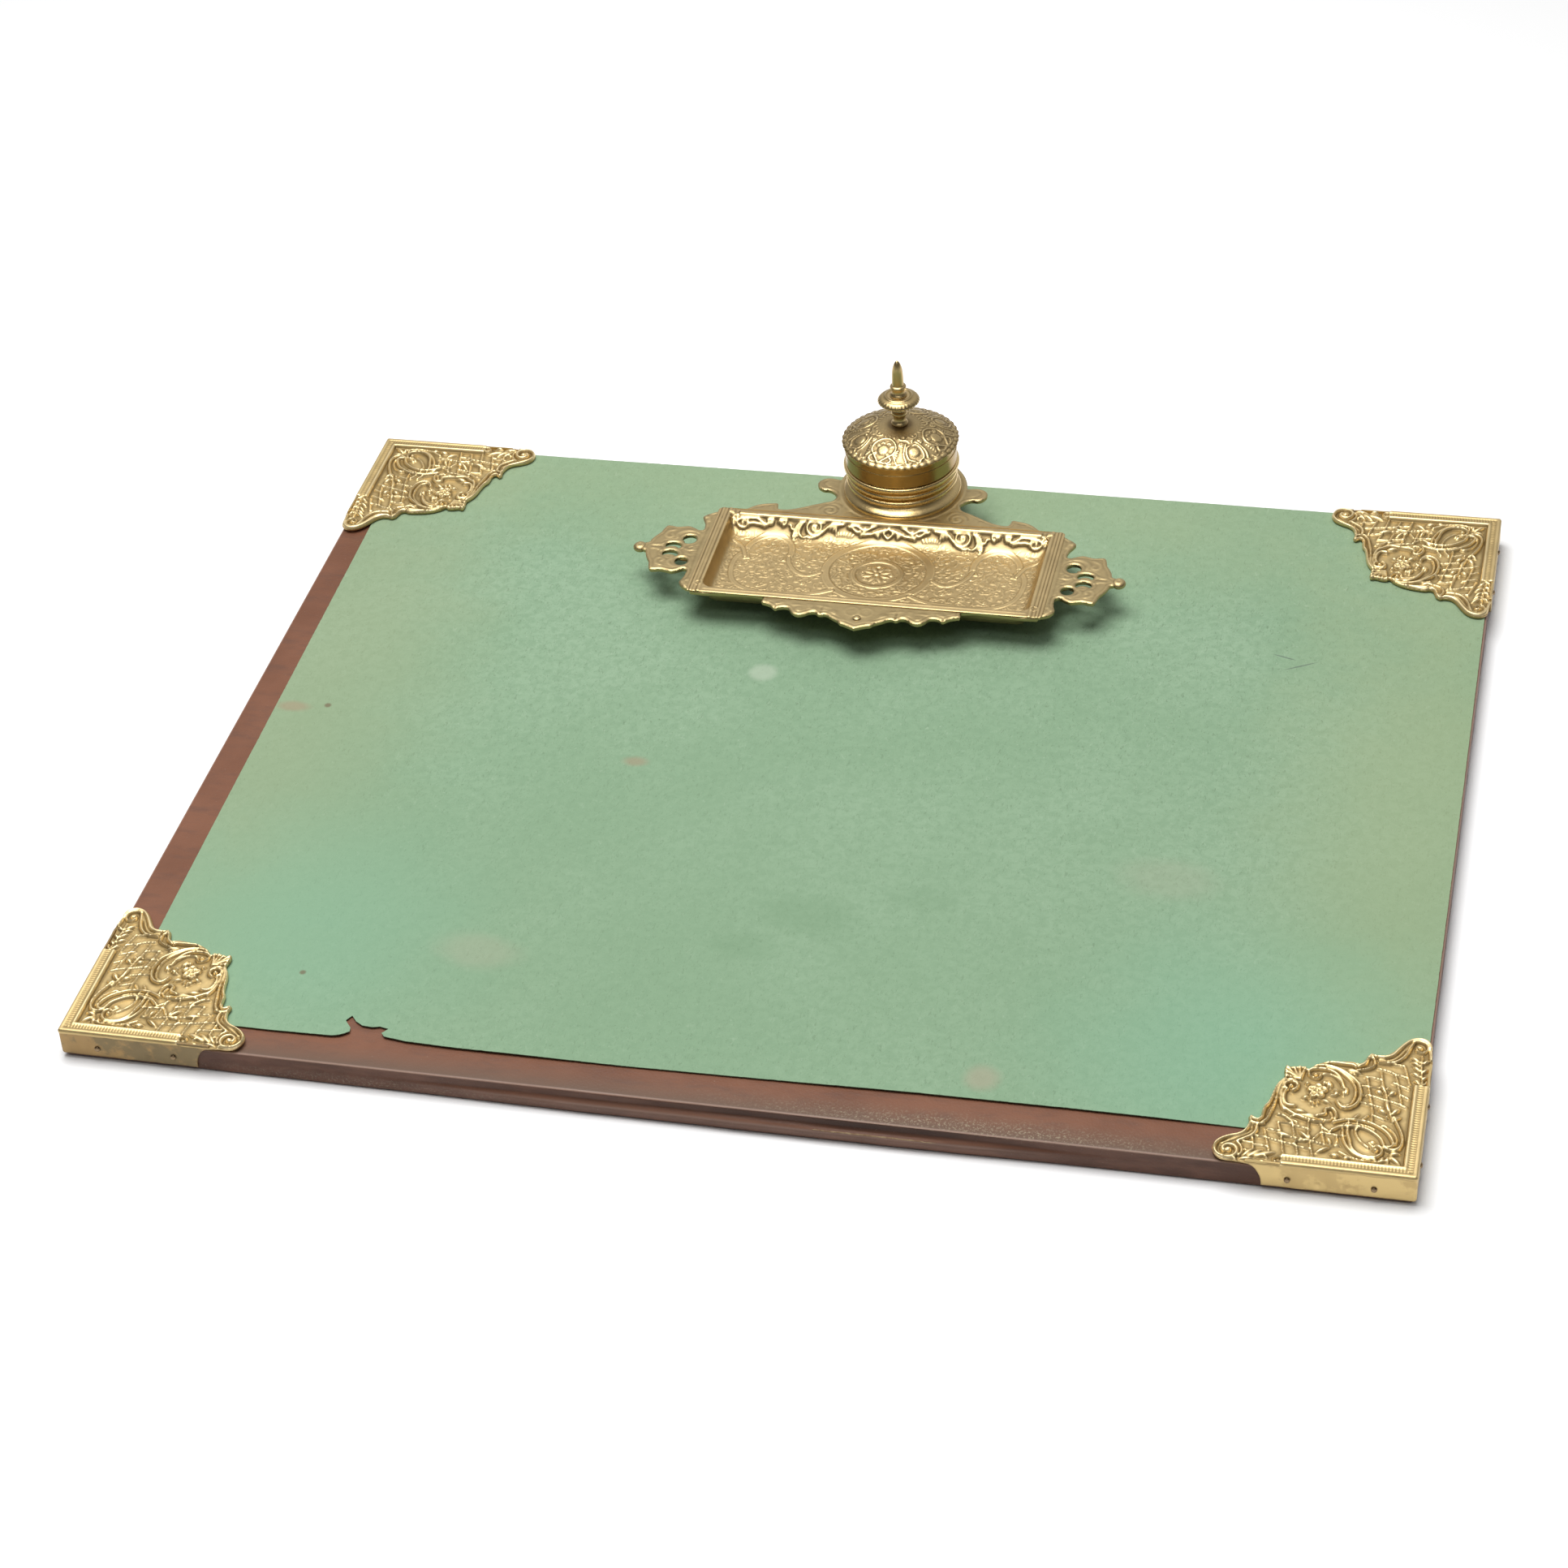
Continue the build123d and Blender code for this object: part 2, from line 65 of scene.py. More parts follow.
# ===================================================================== helpers
def curve(pts, n=6, closed=False):
    """Points on a smooth (centripetal Catmull-Rom) curve through pts."""
    p = np.array(pts, float)
    if len(p) < 3 and not closed:
        t = np.linspace(0, 1, n + 1)[:, None]
        return p[0] + (p[-1] - p[0]) * t
    if closed:
        p = np.vstack([p[-1], p, p[0], p[1]])
    else:
        p = np.vstack([2 * p[0] - p[1], p, 2 * p[-1] - p[-2]])
    out = []
    for i in range(1, len(p) - 2):
        q = p[i - 1:i + 3]
        k = [0.0]
        for a, b in zip(q[:-1], q[1:]):
            k.append(k[-1] + max(np.linalg.norm(b - a), 1e-6) ** 0.5)
        for j in range(n):
            t = k[1] + (k[2] - k[1]) * j / n
            a1 = (k[1] - t) / (k[1] - k[0]) * q[0] + (t - k[0]) / (k[1] - k[0]) * q[1]
            a2 = (k[2] - t) / (k[2] - k[1]) * q[1] + (t - k[1]) / (k[2] - k[1]) * q[2]
            a3 = (k[3] - t) / (k[3] - k[2]) * q[2] + (t - k[2]) / (k[3] - k[2]) * q[3]
            b1 = (k[2] - t) / (k[2] - k[0]) * a1 + (t - k[0]) / (k[2] - k[0]) * a2
            b2 = (k[3] - t) / (k[3] - k[1]) * a2 + (t - k[1]) / (k[3] - k[1]) * a3
            out.append((k[2] - t) / (k[2] - k[1]) * b1 + (t - k[1]) / (k[2] - k[1]) * b2)
    if not closed:
        out.append(p[-2])
    return np.array(out)


def sdf_poly(X, Y, poly):
    """Signed distance to a closed outline, positive inside."""
    P = np.array(poly, float)
    best = np.full(X.shape, 1e9)
    inside = np.zeros(X.shape, bool)
    for (ax, ay), (bx, by) in zip(P, np.roll(P, -1, axis=0)):
        ex, ey = bx - ax, by - ay
        L = ex * ex + ey * ey
        if L < 1e-12:
            continue
        t = np.clip(((X - ax) * ex + (Y - ay) * ey) / L, 0, 1)
        dx, dy = X - ax - t * ex, Y - ay - t * ey
        np.minimum(best, dx * dx + dy * dy, out=best)
        if ay != by:
            cross = ((ay > Y) != (by > Y)) & (X < (bx - ax) * (Y - ay) / (by - ay) + ax)
            inside ^= cross
    best = np.sqrt(best)
    return np.where(inside, best, -best)


def sdf_box(X, Y, x0, x1, y0, y1, r):
    """Signed distance to a rounded rectangle, positive inside."""
    qx = np.abs(X - (x0 + x1) / 2) - (x1 - x0) / 2 + r
    qy = np.abs(Y - (y0 + y1) / 2) - (y1 - y0) / 2 + r
    return -(np.hypot(np.maximum(qx, 0), np.maximum(qy, 0)) + np.minimum(np.maximum(qx, qy), 0) - r)


def smooth01(t):
    t = np.clip(t, 0, 1)
    return t * t * (3 - 2 * t)


def blur(A, n=1):
    for _ in range(n):
        B = np.pad(A, 1, mode="edge")
        A = (B[:-2, 1:-1] + 2 * B[1:-1, 1:-1] + B[2:, 1:-1]) / 4
        B = np.pad(A, 1, mode="edge")
        A = (B[1:-1, :-2] + 2 * B[1:-1, 1:-1] + B[1:-1, 2:]) / 4
    return A


def lumps(X, Y, size, seed):
    """Smooth repeatable noise about 0, with features of the given size."""
    rng = np.random.default_rng(seed)
    out = np.zeros(X.shape)
    for _ in range(14):
        a = rng.uniform(0, 2 * math.pi)
        k = 2 * math.pi / (size * rng.uniform(0.7, 1.6))
        out += np.sin(k * (X * math.cos(a) + Y * math.sin(a)) + rng.uniform(0, 7))
    return out / 5.0


class Relief:
    """A height map in mm that ornament is drawn on."""

    def __init__(self, xs, ys, base=0.0):
        self.xs, self.ys = np.array(xs, float), np.array(ys, float)
        self.X, self.Y = np.meshgrid(self.xs, self.ys, indexing="ij")
        self.H = np.full(self.X.shape, float(base))

    def win(self, x0, x1, y0, y1):
        i0, i1 = np.searchsorted(self.xs, [x0, x1])
        j0, j1 = np.searchsorted(self.ys, [y0, y1])
        return slice(max(i0 - 1, 0), i1 + 1), slice(max(j0 - 1, 0), j1 + 1)

    def ridge(self, pts, w=0.5, h=1.5, n=6, power=0.5, ends=0.6, cut=False, line=False):
        """A rounded bead along a curve; w and h may be (start, end)."""
        P = np.array(pts, float) if line else curve(pts, n)
        seg = np.linalg.norm(np.diff(P, axis=0), axis=1)
        s = np.concatenate([[0], np.cumsum(seg)])
        T = s / max(s[-1], 1e-9)
        w0, w1 = (w, w) if np.isscalar(w) else w
        h0, h1 = (h, h) if np.isscalar(h) else h
        wm = max(w0, w1)
        for k in range(len(P) - 1):
            (ax, ay), (bx, by) = P[k], P[k + 1]
            sl = self.win(min(ax, bx) - wm, max(ax, bx) + wm, min(ay, by) - wm, max(ay, by) + wm)
            X, Y = self.X[sl], self.Y[sl]
            if X.size == 0:
                continue
            ex, ey = bx - ax, by - ay
            L = max(ex * ex + ey * ey, 1e-12)
            t = np.clip(((X - ax) * ex + (Y - ay) * ey) / L, 0, 1)
            d = np.hypot(X - ax - t * ex, Y - ay - t * ey)
            tt = T[k] + (T[k + 1] - T[k]) * t
            ww = w0 + (w1 - w0) * tt
            q = np.clip(1 - (d / ww) ** 2, 0, 1) ** power
            if cut:
                self.H[sl] = np.minimum(self.H[sl], self.base_cut[sl] - (h0 + (h1 - h0) * tt) * q)
            else:
                v = (h0 + (h1 - h0) * tt) * q
                self.H[sl] = np.maximum(self.H[sl], np.where(q > 0, v, -9))

    def groove(self, pts, w=0.4, depth=0.4, n=6):
        self.base_cut = self.H.copy()
        self.ridge(pts, w, depth, n, cut=True)

    def leaf(self, p0, p1, w=1.0, h=1.7, crease=0.3, bend=0.0):
        """A pointed leaf from p0 to p1, half width w, with a crease."""
        p0, p1 = np.array(p0, float), np.array(p1, float)
        L = np.linalg.norm(p1 - p0)
        e = (p1 - p0) / L
        sl = self.win(min(p0[0], p1[0]) - w - 1, max(p0[0], p1[0]) + w + 1,
                      min(p0[1], p1[1]) - w - 1, max(p0[1], p1[1]) + w + 1)
        X, Y = self.X[sl] - p0[0], self.Y[sl] - p0[1]
        t = (X * e[0] + Y * e[1]) / L
        c = -X * e[1] + Y * e[0] - bend * np.sin(np.pi * np.clip(t, 0, 1)) * L
        ww = w * np.sin(np.pi * np.clip(t, 0, 1) ** 0.85) ** 0.8 + 1e-6
        q = np.where((t > 0) & (t < 1), np.clip(1 - (c / ww) ** 2, 0, 1), 0)
        v = h * (0.55 + 0.45 * np.sin(np.pi * np.clip(t, 0, 1))) * q ** 0.5 - crease * np.exp(-(c / 0.22) ** 2)
        self.H[sl] = np.maximum(self.H[sl], np.where(q > 0, v, -9))

    def dot(self, c, r=0.8, h=1.8, flat=1.0, ang=0.0, power=0.6):
        sl = self.win(c[0] - r * max(1, flat), c[0] + r * max(1, flat),
                      c[1] - r * max(1, flat), c[1] + r * max(1, flat))
        X, Y = self.X[sl] - c[0], self.Y[sl] - c[1]
        ca, sa = math.cos(ang), math.sin(ang)
        q = np.clip(1 - ((X * ca + Y * sa) / (r * flat)) ** 2 - ((-X * sa + Y * ca) / r) ** 2, 0, 1)
        self.H[sl] = np.maximum(self.H[sl], np.where(q > 0, h * q ** power, -9))

    def ring(self, c, r, w=0.45, h=1.6, flat=1.0, a0=0.0, a1=360.0):
        n = max(8, int(abs(a1 - a0) / 14))
        t = np.radians(np.linspace(a0, a1, n + 1))
        self.ridge(np.c_[c[0] + r * flat * np.cos(t), c[1] + r * np.sin(t)], w, h, line=True)

    def spiral(self, c, r0, turns, a0, w=0.6, h=1.6, r1=0.5, boss=0.9, hand=1):
        """A volute that winds in from radius r0 to r1 about c."""
        n = int(18 * turns)
        f = np.linspace(0, 1, n + 1)
        r = r0 + (r1 - r0) * f ** 0.85
        t = np.radians(a0) + hand * 2 * math.pi * turns * f
        self.ridge(np.c_[c[0] + r * np.cos(t), c[1] + r * np.sin(t)],
                   (w, w * 0.7), (h, h * 1.05), line=True)
        if boss:
            self.dot(c, boss, h * 1.15)

    def fan(self, c, a0, a1, r0, r1, n, w=0.6, h=1.6):
        """Leaf lobes that spread from c between two directions."""
        for k in range(n):
            a = math.radians(a0 + (a1 - a0) * (k + 0.5) / n)
            rr = r1 * (1 - 0.12 * abs((k + 0.5) / n - 0.5) * 2)
            self.ridge([(c[0] + r0 * math.cos(a), c[1] + r0 * math.sin(a)),
                        (c[0] + rr * math.cos(a), c[1] + rr * math.sin(a))],
                       (w * 0.45, w), (h * 0.8, h), n=4)


def new_object(name, verts, faces, material, body, smooth_angle=45.0, attrs=None):
    me = bpy.data.meshes.new(name)
    me.from_pydata([tuple(v) for v in np.asarray(verts, float) * MM], [], faces)
    me.validate()
    for key, values in (attrs or {}).items():
        a = me.attributes.new(key, "FLOAT", "POINT")
        a.data.foreach_set("value", np.asarray(values, np.float32))
    me.polygons.foreach_set("use_smooth", [True] * len(me.polygons))
    me.set_sharp_from_angle(angle=math.radians(smooth_angle))
    me.materials.append(material)
    me.update()
    ob = bpy.data.objects.new(name, me)
    scene.collection.objects.link(ob)
    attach(ob, body)
    return ob


def cast(name, X, Y, Z, D, place, material, body, rings, bottom=None, cav=None,
         flip=False, angle=50.0, extra=None):
    """A solid from a surface patch.  X, Y, Z: the surface at the grid's nodes (mm); D: the
    outline's signed distance there; rings: [(outward shift, z or None)] below the edge, the
    last at the underside; bottom: a function (x, y) -> z for the underside, or None for flat."""
    nx, ny = D.shape
    D = np.array(D, float)
    step = float(np.median(np.abs(np.diff(X[:, ny // 2])))) or 0.3
    tiny = 0.12 * step
    D = np.where((D >= 0) & (D < tiny), tiny, D)
    D = np.where((D < 0) & (D > -tiny), -tiny, D)
    ins = D > 0
    cv = np.zeros(D.shape) if cav is None else cav
    num = -np.ones(D.shape, int)
    num[ins] = np.arange(ins.sum())
    V = np.c_[X[ins], Y[ins], Z[ins]]
    C = cv[ins]
    count = len(V)
    extraV, extraC, normals = [], [], []
    gx, gy = np.gradient(D)
    gX = gx / np.maximum(np.abs(np.gradient(X, axis=0)), 1e-6)
    gY = gy / np.maximum(np.abs(np.gradient(Y, axis=1)), 1e-6)

    def crossings(di, dj):
        nonlocal count
        a = ins[:nx - di, :ny - dj]
        b = ins[di:, dj:]
        m = a != b
        ids = -np.ones(m.shape, int)
        ids[m] = count + np.arange(m.sum())
        count += int(m.sum())
        Da, Db = D[:nx - di, :ny - dj][m], D[di:, dj:][m]
        t = Da / (Da - Db)

        def mix(A):
            return A[:nx - di, :ny - dj][m] * (1 - t) + A[di:, dj:][m] * t
        extraV.append(np.c_[mix(X), mix(Y), mix(Z)])
        extraC.append(mix(cv))
        g = np.c_[mix(gX), mix(gY)]
        g /= np.maximum(np.linalg.norm(g, axis=1, keepdims=True), 1e-9)
        normals.append(-g)
        return ids
    EX = crossings(1, 0)
    EY = crossings(0, 1)
    n_nodes = len(V)
    V = np.vstack([V] + extraV)
    C = np.concatenate([C] + extraC)
    N = np.vstack([np.zeros((n_nodes, 2))] + normals)
    full = ins[:-1, :-1] & ins[1:, :-1] & ins[1:, 1:] & ins[:-1, 1:]
    quads = np.c_[num[:-1, :-1][full], num[1:, :-1][full], num[1:, 1:][full], num[:-1, 1:][full]]
    faces = quads.tolist()
    some = (ins[:-1, :-1] | ins[1:, :-1] | ins[1:, 1:] | ins[:-1, 1:]) & ~full
    nxt = {}
    for i, j in np.argwhere(some):
        cs = [(i, j), (i + 1, j), (i + 1, j + 1), (i, j + 1)]
        es = [EX[i, j], EY[i + 1, j], EX[i, j + 1], EY[i, j]]
        poly, kinds = [], []
        for k in range(4):
            if ins[cs[k]]:
                poly.append(int(num[cs[k]]))
                kinds.append(0)
            if es[k] >= 0:
                poly.append(int(es[k]))
                kinds.append(1 if ins[cs[k]] else 2)      # 1 leaves, 2 returns
        m = len(poly)
        loops = [k for k in range(m) if kinds[k] == 1]
        if len(loops) == 2:                                # saddle: two separate corners
            for k in loops:
                tri = [poly[(k - 2) % m], poly[(k - 1) % m], poly[k]]
                faces.append(tri)
                nxt[tri[2]] = tri[0]
            continue
        faces.append(poly)
        k = loops[0]
        nxt[poly[k]] = poly[(k + 1) % m]
    # walls
    edge_ids = sorted(nxt)
    col = {v: k for k, v in enumerate(edge_ids)}
    E = V[edge_ids]
    NE = N[edge_ids]
    layers = [np.array(edge_ids)]
    total = len(V)
    allV, allC = [V], [C]
    for off, z in rings:
        zz = E[:, 2] if z is None else (bottom(E[:, 0], E[:, 1]) if z == "bottom" else np.full(len(E), float(z)))
        allV.append(np.c_[E[:, 0] + NE[:, 0] * off, E[:, 1] + NE[:, 1] * off, zz])
        allC.append(np.zeros(len(E)))
        layers.append(total + np.arange(len(E)))
        total += len(E)
    for la, lb in zip(layers[:-1], layers[1:]):
        for a, b in nxt.items():
            ka, kb = col[a], col[b]
            faces.append([int(la[kb]), int(la[ka]), int(lb[ka]), int(lb[kb])])
    V = np.vstack(allV)
    C = np.concatenate(allC)
    # underside
    low = layers[-1]
    loops, left = [], set(edge_ids)
    while left:
        a = start = min(left)
        loop = []
        while a in left:
            left.discard(a)
            loop.append(int(low[col[a]]))
            a = nxt[a]
        loops.append(loop)
    pts, edges, back = [], [], []
    for loop in loops:
        s = len(pts)
        pts += [Vector((V[i, 0], V[i, 1])) for i in loop]
        back += loop
        edges += [(s + k, s + (k + 1) % len(loop)) for k in range(len(loop))]
    inner = []
    if bottom is not None:
        gxs = np.arange(V[:, 0].min(), V[:, 0].max(), extra or 2.0)
        gys = np.arange(V[:, 1].min(), V[:, 1].max(), extra or 2.0)
        GX, GY = np.meshgrid(gxs, gys, indexing="ij")
        di = np.abs(X[:, ny // 2][None, :] - gxs[:, None]).argmin(1)
        dj = np.abs(Y[nx // 2, :][None, :] - gys[:, None]).argmin(1)
        keep = D[np.ix_(di, dj)] > 1.0
        inner = list(zip(GX[keep], GY[keep]))
    n_edge = len(pts)
    pts += [Vector(p) for p in inner]
    vo, _, fo, orig, _, _ = delaunay_2d_cdt(pts, edges, [], 1, 1e-5)
    new_ids = {}
    addV = []
    for k, o in enumerate(orig):
        o = [q for q in o if q < n_edge] or list(o)
        if o and o[0] < n_edge:
            new_ids[k] = back[o[0]]
        else:
            z = float(bottom(np.array([vo[k].x]), np.array([vo[k].y]))[0]) if bottom is not None else float(V[back[0], 2])
            new_ids[k] = len(V) + len(addV)
            addV.append((vo[k].x, vo[k].y, z))
    if addV:
        V = np.vstack([V, addV])
        C = np.concatenate([C, np.zeros(len(addV))])
    xs_mid, ys_mid = X[:, ny // 2], Y[nx // 2, :]
    for f in fo:
        cx = sum(vo[k].x for k in f) / 3
        cy = sum(vo[k].y for k in f) / 3
        if len(loops) > 1:
            i = int(np.abs(xs_mid - cx).argmin())
            j = int(np.abs(ys_mid - cy).argmin())
            if D[i, j] < -0.2 * step:
                continue
        tri = [new_ids[k] for k in f]
        a, b, c = (vo[k] for k in f)
        if (b - a).cross(c - a) > 0:
            tri = tri[::-1]
        if len(set(tri)) == 3:
            faces.append(tri)
    px, py, pz = place(V[:, 0], V[:, 1], V[:, 2])
    if flip:
        faces = [f[::-1] for f in faces]
    return new_object(name, np.c_[px, py, pz], faces, material, body, angle, {"cav": C})


def lathe(name, prof, cx, cy, material, body, seg=144, n=4, wobble=None, sharp=()):
    """A turned piece from (r, z) points, closed on its axis or as a ring."""
    P = np.array(prof, float) if n <= 1 else curve(prof, n, closed=False)
    P[:, 0] = np.maximum(P[:, 0], 0)
    t = np.linspace(0, 2 * math.pi, seg, endpoint=False)
    rings, V, faces = [], [], []
    for r, z in P:
        if r < 1e-4:
            rings.append([len(V)])
            V.append((cx, cy, z))
        else:
            rr = r if wobble is None else r * (1 + wobble(r, z, t))
            rings.append(list(range(len(V), len(V) + seg)))
            V += list(zip(cx + rr * np.cos(t), cy + rr * np.sin(t), np.full(seg, z)))
    for a, b in zip(rings[:-1], rings[1:]):
        for k in range(seg):
            k2 = (k + 1) % seg
            if len(a) == 1 and len(b) == 1:
                continue
            if len(a) == 1:
                faces.append([a[0], b[k], b[k2]])
            elif len(b) == 1:
                faces.append([a[k], b[0], a[k2]])
            else:
                faces.append([a[k], b[k], b[k2], a[k2]])
    a, b = rings[-1], rings[0]
    if len(a) > 1 and len(b) > 1 and np.linalg.norm(P[0] - P[-1]) > 1e-6:
        for k in range(seg):
            k2 = (k + 1) % seg
            faces.append([a[k], b[k], b[k2], a[k2]])
    area = np.sum(P[:, 0] * np.roll(P[:, 1], -1) - np.roll(P[:, 0], -1) * P[:, 1])
    if area > 0:
        faces = [f[::-1] for f in faces]
    V = np.array(V)
    # hollow between turnings, for the dark that gathers there
    rs = np.array([p[0] for p in P])
    kern = np.convolve(np.pad(rs, 4, mode="edge"), np.ones(9) / 9, mode="valid")
    cav_p = rs - kern
    cav = np.concatenate([np.full(len(r), c) for r, c in zip(rings, cav_p)])
    return new_object(name, V, faces, material, body, 40, {"cav": cav * 0.8})


# ===================================================================== materials
def srgb(r, g, b):
    def f(c):
        c = c / 255.0
        return c / 12.92 if c <= 0.04045 else ((c + 0.055) / 1.055) ** 2.4
    return (f(r), f(g), f(b), 1.0)


class Nodes:
    """Short forms for building a node material."""

    def __init__(self, name):
        self.mat = bpy.data.materials.new(name)
        self.mat.use_nodes = True
        self.t = self.mat.node_tree
        self.t.nodes.clear()
        self.out = self.t.nodes.new("ShaderNodeOutputMaterial")
        self.bsdf = self.t.nodes.new("ShaderNodeBsdfPrincipled")
        self.link(self.bsdf.outputs[0], self.out.inputs["Surface"])
        self.co = self.t.nodes.new("ShaderNodeTexCoord").outputs["Object"]

    def link(self, a, b):
        self.t.links.new(a, b)

    def put(self, sock, v):
        if isinstance(v, bpy.types.NodeSocket):
            self.link(v, sock)
        else:
            sock.default_value = v

    def math(self, op, a, b=0.0, clamp=False):
        n = self.t.nodes.new("ShaderNodeMath")
        n.operation = op
        n.use_clamp = clamp
        self.put(n.inputs[0], a)
        self.put(n.inputs[1], b)
        return n.outputs[0]

    def ramp01(self, x, lo, hi):
        n = self.t.nodes.new("ShaderNodeMapRange")
        n.clamp = True
        n.interpolation_type = "SMOOTHSTEP"
        self.put(n.inputs["Value"], x)
        n.inputs["From Min"].default_value = lo
        n.inputs["From Max"].default_value = hi
        return n.outputs[0]

    def mix(self, f, a, b, kind="MIX"):
        n = self.t.nodes.new("ShaderNodeMix")
        n.data_type = "RGBA"
        n.blend_type = kind
        n.clamp_factor = True
        self.put(n.inputs["Factor"], f)
        self.put(n.inputs["A"], a)
        self.put(n.inputs["B"], b)
        return n.outputs["Result"]

    def noise(self, scale, detail=4.0, rough=0.55, co=None, dist=0.0):
        n = self.t.nodes.new("ShaderNodeTexNoise")
        n.inputs["Scale"].default_value = scale
        n.inputs["Detail"].default_value = detail
        n.inputs["Roughness"].default_value = rough
        n.inputs["Distortion"].default_value = dist
        self.put(n.inputs["Vector"], co or self.co)
        return n.outputs["Fac"]

    def voronoi(self, scale, feature="F1", co=None, rand=1.0):
        n = self.t.nodes.new("ShaderNodeTexVoronoi")
        n.feature = feature
        n.inputs["Scale"].default_value = scale
        n.inputs["Randomness"].default_value = rand
        self.put(n.inputs["Vector"], co or self.co)
        return n.outputs["Distance"]

    def stretch(self, sx, sy, sz, loc=(0, 0, 0), rot=(0, 0, 0)):
        n = self.t.nodes.new("ShaderNodeMapping")
        n.inputs["Scale"].default_value = (sx, sy, sz)
        n.inputs["Location"].default_value = loc
        n.inputs["Rotation"].default_value = rot
        self.link(self.co, n.inputs["Vector"])
        return n.outputs[0]

    def attribute(self, name):
        n = self.t.nodes.new("ShaderNodeAttribute")
        n.attribute_name = name
        return n.outputs["Fac"]

    def spot(self, x, y, r, soft=0.5, warp=None, sx=1.0, sy=1.0):
        """1 inside a blurred spot at (x, y) metres of radius r, 0 outside."""
        n = self.t.nodes.new("ShaderNodeMapping")
        n.inputs["Location"].default_value = (-x * sx / r, -y * sy / r, 0)
        n.inputs["Scale"].default_value = (sx / r, sy / r, 0)
        self.link(self.co, n.inputs["Vector"])
        ln = self.t.nodes.new("ShaderNodeVectorMath")
        ln.operation = "LENGTH"
        self.link(n.outputs[0], ln.inputs[0])
        d = ln.outputs["Value"]
        if warp is not None:
            d = self.math("ADD", d, self.math("MULTIPLY", self.math("SUBTRACT", warp, 0.5), 1.2))
        return self.math("SUBTRACT", 1.0, self.ramp01(d, 1.0 - soft, 1.0 + soft))

    def bump(self, height, strength, distance, normal=None):
        n = self.t.nodes.new("ShaderNodeBump")
        n.inputs["Strength"].default_value = strength
        n.inputs["Distance"].default_value = distance
        self.put(n.inputs["Height"], height)
        if normal is not None:
            self.link(normal, n.inputs["Normal"])
        return n.outputs[0]


def brass(name, light, mid, dark, rough=(0.30, 0.46), cav=(-0.35, 0.12), patina=0.5,
          tarnish=None, tarnish_amount=0.0, brushed=0.0):
    m = Nodes(name)
    b = m.bsdf
    b.inputs["Metallic"].default_value = 1.0
    big = m.noise(34, 3)
    med = m.noise(170, 5, 0.6)
    fine = m.noise(900, 6, 0.62)
    c = m.attribute("cav")
    c = m.math("ADD", c, m.math("MULTIPLY", m.math("SUBTRACT", med, 0.5), 0.16))
    up = m.ramp01(c, cav[0], cav[1])
    col = m.mix(up, dark, mid)
    col = m.mix(m.ramp01(m.math("ADD", c, m.math("MULTIPLY", big, 0.2)), 0.12, 0.62), col, light)
    col = m.mix(m.math("MULTIPLY", m.ramp01(big, 0.50, 0.72), 0.35 * patina), col, dark)
    col = m.mix(m.math("MULTIPLY", m.ramp01(fine, 0.60, 0.78), 0.30 * patina), col, dark)
    f = m.math("SUBTRACT", 1.0, up)
    r = m.math("ADD", rough[0], m.math("MULTIPLY", f, rough[1] - rough[0]))
    r = m.math("ADD", r, m.math("MULTIPLY", m.math("SUBTRACT", med, 0.5), 0.16))
    if tarnish is not None:
        patch = m.ramp01(m.math("ADD", m.noise(60, 5, 0.62), m.math("MULTIPLY", m.noise(420, 4, 0.6), 0.25)),
                         0.66 - 0.25 * tarnish_amount, 0.74 - 0.1 * tarnish_amount)
        col = m.mix(m.math("MULTIPLY", patch, min(1.0, 0.3 + tarnish_amount)), col, tarnish)
        r = m.math("ADD", r, m.math("MULTIPLY", patch, 0.18))
    m.put(b.inputs["Base Color"], col)
    m.put(b.inputs["Roughness"], m.math("MINIMUM", r, 0.9))
    scratch = m.noise(260, 3, 0.6, m.stretch(1.0, 7.0, 3.0, rot=(0, 0, 0.6)))
    hgt = m.math("ADD", m.math("MULTIPLY", fine, 0.6), m.math("MULTIPLY", scratch, 0.4))
    nb = m.bump(hgt, 0.20, 0.00035)
    nb = m.bump(med, 0.12, 0.0008, nb)
    m.put(b.inputs["Normal"], nb)
    return m.mat


BR_LIGHT = (0.95, 0.765, 0.43, 1)
BR_MID = (0.80, 0.61, 0.295, 1)
BR_DARK = (0.285, 0.205, 0.09, 1)
M_CORNER = brass("corner_brass_m", BR_LIGHT, BR_MID, BR_DARK, (0.46, 0.60), (-0.40, 0.30), 0.6)
M_FLANGE = brass("flange_brass_m", (0.69, 0.535, 0.25, 1), (0.63, 0.47, 0.212, 1), (0.33, 0.243, 0.117, 1),
                 (0.36, 0.5), (-0.5, -0.1), 0.5, (0.52, 0.38, 0.19, 1), 0.02)
M_FLANGE_OLD = brass("flange_tarnished_m", (0.48, 0.345, 0.16, 1), (0.36, 0.24, 0.11, 1), (0.17, 0.115, 0.06, 1),
                     (0.45, 0.6), (-0.5, -0.1), 0.8, (0.22, 0.20, 0.13, 1), 0.25)
M_STAND = brass("stand_brass_m", (0.645, 0.51, 0.268, 1), (0.535, 0.413, 0.208, 1), (0.19, 0.135, 0.065, 1),
                (0.42, 0.55), (-0.40, 0.08), 0.6)
M_DOME = brass("dome_brass_m", (0.81, 0.63, 0.33, 1), (0.56, 0.42, 0.205, 1), (0.24, 0.17, 0.08, 1),
               (0.36, 0.52), (-0.20, 0.10), 0.6)
M_TRAY = brass("tray_brass_m", (0.84, 0.66, 0.335, 1), (0.65, 0.49, 0.248, 1), (0.25, 0.178, 0.082, 1),
               (0.41, 0.54), (-0.32, 0.10), 0.6)
M_TURNED = brass("turned_brass_m", (0.85, 0.64, 0.315, 1), (0.73, 0.54, 0.25, 1), (0.18, 0.12, 0.05, 1),
                 (0.27, 0.40), (-0.45, 0.05), 0.5)
